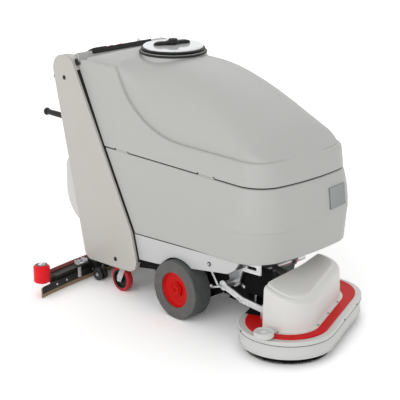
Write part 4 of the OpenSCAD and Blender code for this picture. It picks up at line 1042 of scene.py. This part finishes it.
# Squeegee fittings: ahead of the blade's curve, out from the middle and up, or a wing nut's turn
CLAMP, CLAMP_SIZE, CLAMP_TURN = (-24, 280, 69.5), (26, 62, 3), 0.11
WING_NUTS = ((-23, 262, 0.5), (-26, 298, 1.3))
NUT_Z = CLAMP[2] + CLAMP_SIZE[2] / 2
STRAP, STRAP_SIZE = (11.4, 322, 47), (3.6, 17, 44)
CLAMP_BOLT = (13, 326, 36)
RIVETS_Y, RIVET_AHEAD, RIVET_Z, RIVET = (180, 240, 400, 460), 9.6, 36, (4.5, 3, 20)
ROLLER, ROLLER_RING, ROLLER_RISE = (-36.5, 512, 128), (24, 1.2), 0.5


def on_blade(side, ahead, out, z):
    """A place on the right or left wing, from the curve of the front blade."""
    return at(blade_at(out) + ahead, side * out, z)


def make_squeegee_fittings():
    """Clamp plate with its wing nuts on each wing, strap down the front, end rollers' bolts."""
    bright = []
    for side in SIDES:
        plate = block("clamp_plate", on_blade(side, *CLAMP), CLAMP_SIZE, (0, 0, -side * CLAMP_TURN))
        bright.append(rounded_off(plate, 0.8))
        for ahead, out, angle in WING_NUTS:
            bright.append(wing_nut(on_blade(side, ahead, out, NUT_Z), angle))
        bright.append(rounded_off(block("strap", on_blade(side, *STRAP), STRAP_SIZE), 1.2))
        bright.append(hex_bolt("clamp_bolt", on_blade(side, *CLAMP_BOLT), *CLAMP_HEX, FORWARD))
        for y in RIVETS_Y:
            place = on_blade(side, RIVET_AHEAD, y, RIVET_Z)
            bright.append(rounded_off(drum("rivet", place, *RIVET, FORWARD), 1))
        place = on_blade(side, *ROLLER) + lift(ROLLER_RISE)
        bright.append(hex_bolt("roller_bolt", place, *ROLLER_HEX))
    fitted(joined("squeegee_clamps", bright), "squeegee", "galvanised")
    for side, label in HANDS:
        ring = rounded_off(drum("roller_ring_" + label, on_blade(side, *ROLLER), *ROLLER_RING), 0.4)
        fitted(ring, "squeegee_roller_" + label, "red_plastic", finish="dark_metal")


SHADE_DISC_Y, SHADE_DISC_HOLE, SHADE_DISC_RATIO, SHADE_DISC_T = 209, 15, 5.2, 2.5


def make_axle_shade_discs():
    """Dark discs on the chassis behind the drive wheels, painted shade over the hubs' inner sides.
    """
    shade_discs = []
    for side in SIDES:
        centre = at(0, side * SHADE_DISC_Y, WHEEL_Z)
        nothing_selected()
        bpy.ops.mesh.primitive_circle_add(vertices=64, radius=SHADE_DISC_HOLE * MM, fill_type="NOTHING",
                                          rotation=ACROSS, location=centre)
        ring = named("shade_disc")
        edit(ring)
        bpy.ops.mesh.extrude_edges_move()
        bpy.ops.transform.resize(value=(SHADE_DISC_RATIO, 1, SHADE_DISC_RATIO), center_override=centre)
        leave_edit()
        shade_discs.append(applied(ring, "SOLIDIFY", thickness=SHADE_DISC_T * MM, offset=0))
    fitted(joined("axle_shade_discs", shade_discs), "chassis", "dark_metal")


STAY_PLACE, STAY_SIZE = at(169.5, -238, 210.5), (11, 3, 86)
STAY_LEAN = math.atan2(194 - 145, 245 - 176)
ROD_PLACE, ROD, ROD_LEAN = at(182, -242, 175), (4.5, 52, 24), math.radians(72)
STAY_BOLT = at(158, -242, 172)
APRON_CLIPS, APRON_CLIP_SIZE, APRON_CLIP_TILT = ((182, 164), (246, 172)), (20, 5, 12), 0.3


def make_arm_stay():
    """Stay from the frame down to the arms' pivot with its rod and bolt, and clips on the apron."""
    stay = block("stay", STAY_PLACE, STAY_SIZE, (0, -STAY_LEAN, 0))
    rod = drum("rod", ROD_PLACE, *ROD, (0, ROD_LEAN, 0))
    parts = [rounded_off(stay, 0.8), rounded_off(rod, 1),
             hex_bolt("stay_bolt", STAY_BOLT, *STAY_HEX)]
    for x, z in APRON_CLIPS:
        clip = block("clip", at(x, -APRON_Y - APRON_T, z), APRON_CLIP_SIZE,
                     (0, APRON_CLIP_TILT, 0))
        parts.append(rounded_off(clip, 1))
    fitted(joined("arm_stay", parts), "chassis", "galvanised")


SUPPORT_Y, SUPPORT_W, SUPPORT_STEPS = 248.5, 10, ((5, -2), (5, 1.5))
SUPPORT_NUT_OUT = 4.5


def make_squeegee_wheel_faces():
    """Outer halves of the squeegee's twin support wheels."""
    for side, label in HANDS:
        low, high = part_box("squeegee_wheel_" + label)
        radius = (high.z - low.z) / 2 / MM
        hub = Vector(((low.x + high.x) / 2, side * SUPPORT_Y * MM, (low.z + high.z) / 2))
        rim = drum("support_wheel_" + label, hub, radius, SUPPORT_W, turn=ACROSS)
        rim = rounded_off(stepped(rim, side, *SUPPORT_STEPS), 1.5)
        fitted(rim, "squeegee_wheel_" + label, "black_plastic", finish="dark_metal")
        place = hub + LEFT * side * SUPPORT_NUT_OUT * MM
        nut = hex_bolt("support_nut_" + label, place, *SUPPORT_HEX, (-side * math.pi / 2, 0, 0))
        fitted(nut, "squeegee_wheel_" + label, "black_plastic", finish="galvanised")


ARM_BOLTS = ((296, 160), (312, 152), (228, 188))
ARM_FACE = -235


def make_arm_bolts():
    bolts = [hex_bolt("arm_bolt", at(x, ARM_FACE, z), *ARM_HEX, ACROSS) for x, z in ARM_BOLTS]
    fitted(joined("arm_bolts", bolts), "deck_arms", "galvanised")


# Deck: the line of the brushes from the right one, the way ahead of it and their spacing
DECK = brush_centre("right")
ALONG = brush_centre("left") - DECK
REACH = ALONG.length / MM
ALONG.normalize()
AHEAD = Vector((ALONG.y, -ALONG.x, 0))
DECK_TURN = math.atan2(AHEAD.y, AHEAD.x)
# Screws of the motor cover's flange and clips of the skirt: along, ahead, and the clips' turn
DECK_SCREWS = ((-122.5, 3), (0, 122.5), (123, 122.5), (245, 122.5))
DECK_CLIPS = ((-120, -142, 230), (134, 186, 0), (300, 186, 0))
SCREW_Z, SCREW = 111, (3.6, 2.4, 20)
DECK_CLIP_Z, DECK_CLIP_SIZE = 90, (4, 9, 5)
LINE_OUT, LINE_Z, LINE_SIZE, LINE_STEPS = 185.4, 83.3, (2.4, 2, 1.6), 36


def on_deck(along, ahead, z):
    return DECK + (ALONG * along + AHEAD * ahead + UP * z) * MM


def make_deck_screws():
    dark = []
    for along, ahead in DECK_SCREWS:
        dark.append(rounded_off(drum("screw", on_deck(along, ahead, SCREW_Z), *SCREW), 0.7))
    for along, ahead, turn in DECK_CLIPS:
        clip = block("clip", on_deck(along, ahead, DECK_CLIP_Z), DECK_CLIP_SIZE,
                     (0, 0, DECK_TURN + math.radians(turn)))
        dark.append(rounded_off(clip, 1))
    fitted(joined("deck_screws", dark), "deck", "galvanised", finish="black_metal")


def make_skirt_shade_line():
    """Dark line under the skirt's lip, all the way round: painted shade of the groove beneath the
    lip.
    """
    line = block("skirt_shade_line", on_deck(0, LINE_OUT, LINE_Z), LINE_SIZE, (0, 0, DECK_TURN))
    pick_faces(line, -ALONG)
    spin(LINE_STEPS, math.pi, DECK, UP)
    pick_faces(line, ALONG, lambda c: (c - DECK).dot(ALONG) > -3 * MM)
    grow(ALONG * REACH)
    pick_faces(line, ALONG,
               lambda c: (c - DECK).dot(ALONG) > 100 * MM and (c - DECK).dot(AHEAD) > 0)
    spin(LINE_STEPS, math.pi, brush_centre("left"), -UP)
    fitted(smoothed(line), "deck", "skirt_grey", finish="cast_dark")


FORK_X, FORK_Y, FORK_Z, FORK_HALF = -375, 246, 54, 22
FORK_BOLT = (8.5, 5, 6)


def make_fork_bolts():
    for side, label in HANDS:
        ends = []
        for way in SIDES:
            y = side * FORK_Y + way * (FORK_HALF + FORK_BOLT[1] / 2)
            head = drum("fork_bolt", at(FORK_X, y, FORK_Z), *FORK_BOLT, ACROSS)
            ends.append(rounded_off(head, 0.8))
        fitted(joined("fork_bolts_" + label, ends), "castor_swivel_" + label, "galvanised")


BOSS, BOSS_SUNK, BOSS_STEPS = (30, 8, 64), 7, ((4, -2.5), (3, 1.5))


def make_hub_bosses():
    """Stepped bosses round the middle of the drive wheels."""
    for side, label in HANDS:
        low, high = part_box("hub_" + label)
        face = max(abs(low.y), abs(high.y)) / MM
        boss = drum("hub_boss_" + label, at(0, side * (face - BOSS_SUNK), WHEEL_Z), *BOSS, ACROSS)
        boss = rounded_off(stepped(boss, side, *BOSS_STEPS), 1)
        fitted(boss, "drive_wheel_" + label, "red_plastic", finish="hub_red")


# Black cover over the rear of the deck and its upright lip, standing partly for a black deck pan
# and partly as painted shade under the body: place and size
DECK_BACK = ((on_deck(115, -120, 107.6), (108, 220, 2.4)),
             (on_deck(162, -165, 123.5), (3, 116, 33)))


def make_deck_back():
    parts = [rounded_off(block("deck_back", place, size, (0, 0, DECK_TURN)), 1)
             for place, size in DECK_BACK]
    fitted(joined("deck_back", parts), "deck", "black_plastic", finish="matt_black")


# Control panel: its middle and slope, the display's place on it and the row of lamps
PANEL = at(-634, 0, 994)
PANEL_TILT = math.radians(22)
DISPLAY_U, DISPLAY_Y = -34, -113
SURROUND_SIZE, SURROUND_RIM, SURROUND_SINK = (40, 70, 4), 5, 1.5
SURROUND_RISE, GLASS_RISE, GLASS_SIZE = 3, 4, (29, 59, 1)
LAMP_U, LAMPS_Y, LAMP_RISE, LAMP = -16, (36, 48, 60), 0.8, (3.2, 2.4, 24)


def on_panel(u, y, w):
    """A place on the control panel: u along its slope, y across and w off its face."""
    return PANEL + Matrix.Rotation(-PANEL_TILT, 3, "Y") @ (Vector((u, y, w)) * MM)


def make_panel_fittings():
    """Blank display in its frame and a row of lamps."""
    slope = (0, -PANEL_TILT, 0)
    place = on_panel(DISPLAY_U, DISPLAY_Y, SURROUND_RISE)
    surround = block("display_frame", place, SURROUND_SIZE, slope)
    pick_faces(surround, UP)
    inset_by(SURROUND_RIM)
    grow((-SURROUND_SINK * math.sin(PANEL_TILT), 0, -SURROUND_SINK * math.cos(PANEL_TILT)))
    fitted(rounded_off(surround, 0.8), "chassis", "black_plastic")
    glass = block("display_glass", on_panel(DISPLAY_U, DISPLAY_Y, GLASS_RISE), GLASS_SIZE, slope)
    fitted(glass, "chassis", "black_plastic", finish="dark_glass")
    lamps = [rounded_off(drum("lamp", on_panel(LAMP_U, y, LAMP_RISE), *LAMP, slope), 0.8)
             for y in LAMPS_Y]
    fitted(joined("panel_lamps", lamps), "chassis", "black_plastic", finish="lamp_green")


make_bolts()
make_squeegee_fittings()
make_axle_shade_discs()
make_arm_stay()
make_squeegee_wheel_faces()
make_arm_bolts()
make_deck_screws()
make_skirt_shade_line()
make_fork_bolts()
make_hub_bosses()
make_deck_back()
make_panel_fittings()


# CAD nodes that are shaded smooth, with the rounding of their edges, and angles that count as hard
SOFT_EDGES = {
    "recovery_tank": 2.5, "solution_tank": 3.0, "columns": 1.5, "rear_console": 5.0,
    "rear_cover": 4.0, "control_panel": 1.5, "motor_cover": 0.8, "deck_skirt": 2.0,
    "deck_plate": 1.0, "deck_arms": 1.2, "deck_link": 1.0, "deck_brackets": 1.0, "deck_lugs": 1.0,
    "castor_brackets": 1.0, "castor_fork_right": 0.8, "castor_fork_left": 0.8, "squeegee_body": 1.2,
    "squeegee_arm": 1.5, "suction_spigot": 1.2, "battery_pack": 3.0, "chassis_frame": 1.5,
    "tank_hinge_brackets": 0.8, "squeegee_hinge": 1.0, "lift_lever": 0.0, "key_switch": 0.6,
}
HARD_ANGLE = {"recovery_tank": 58, "motor_cover": 24}
for name, width in SOFT_EDGES.items():
    soften(name, width, HARD_ANGLE.get(name, USUAL_HARD))
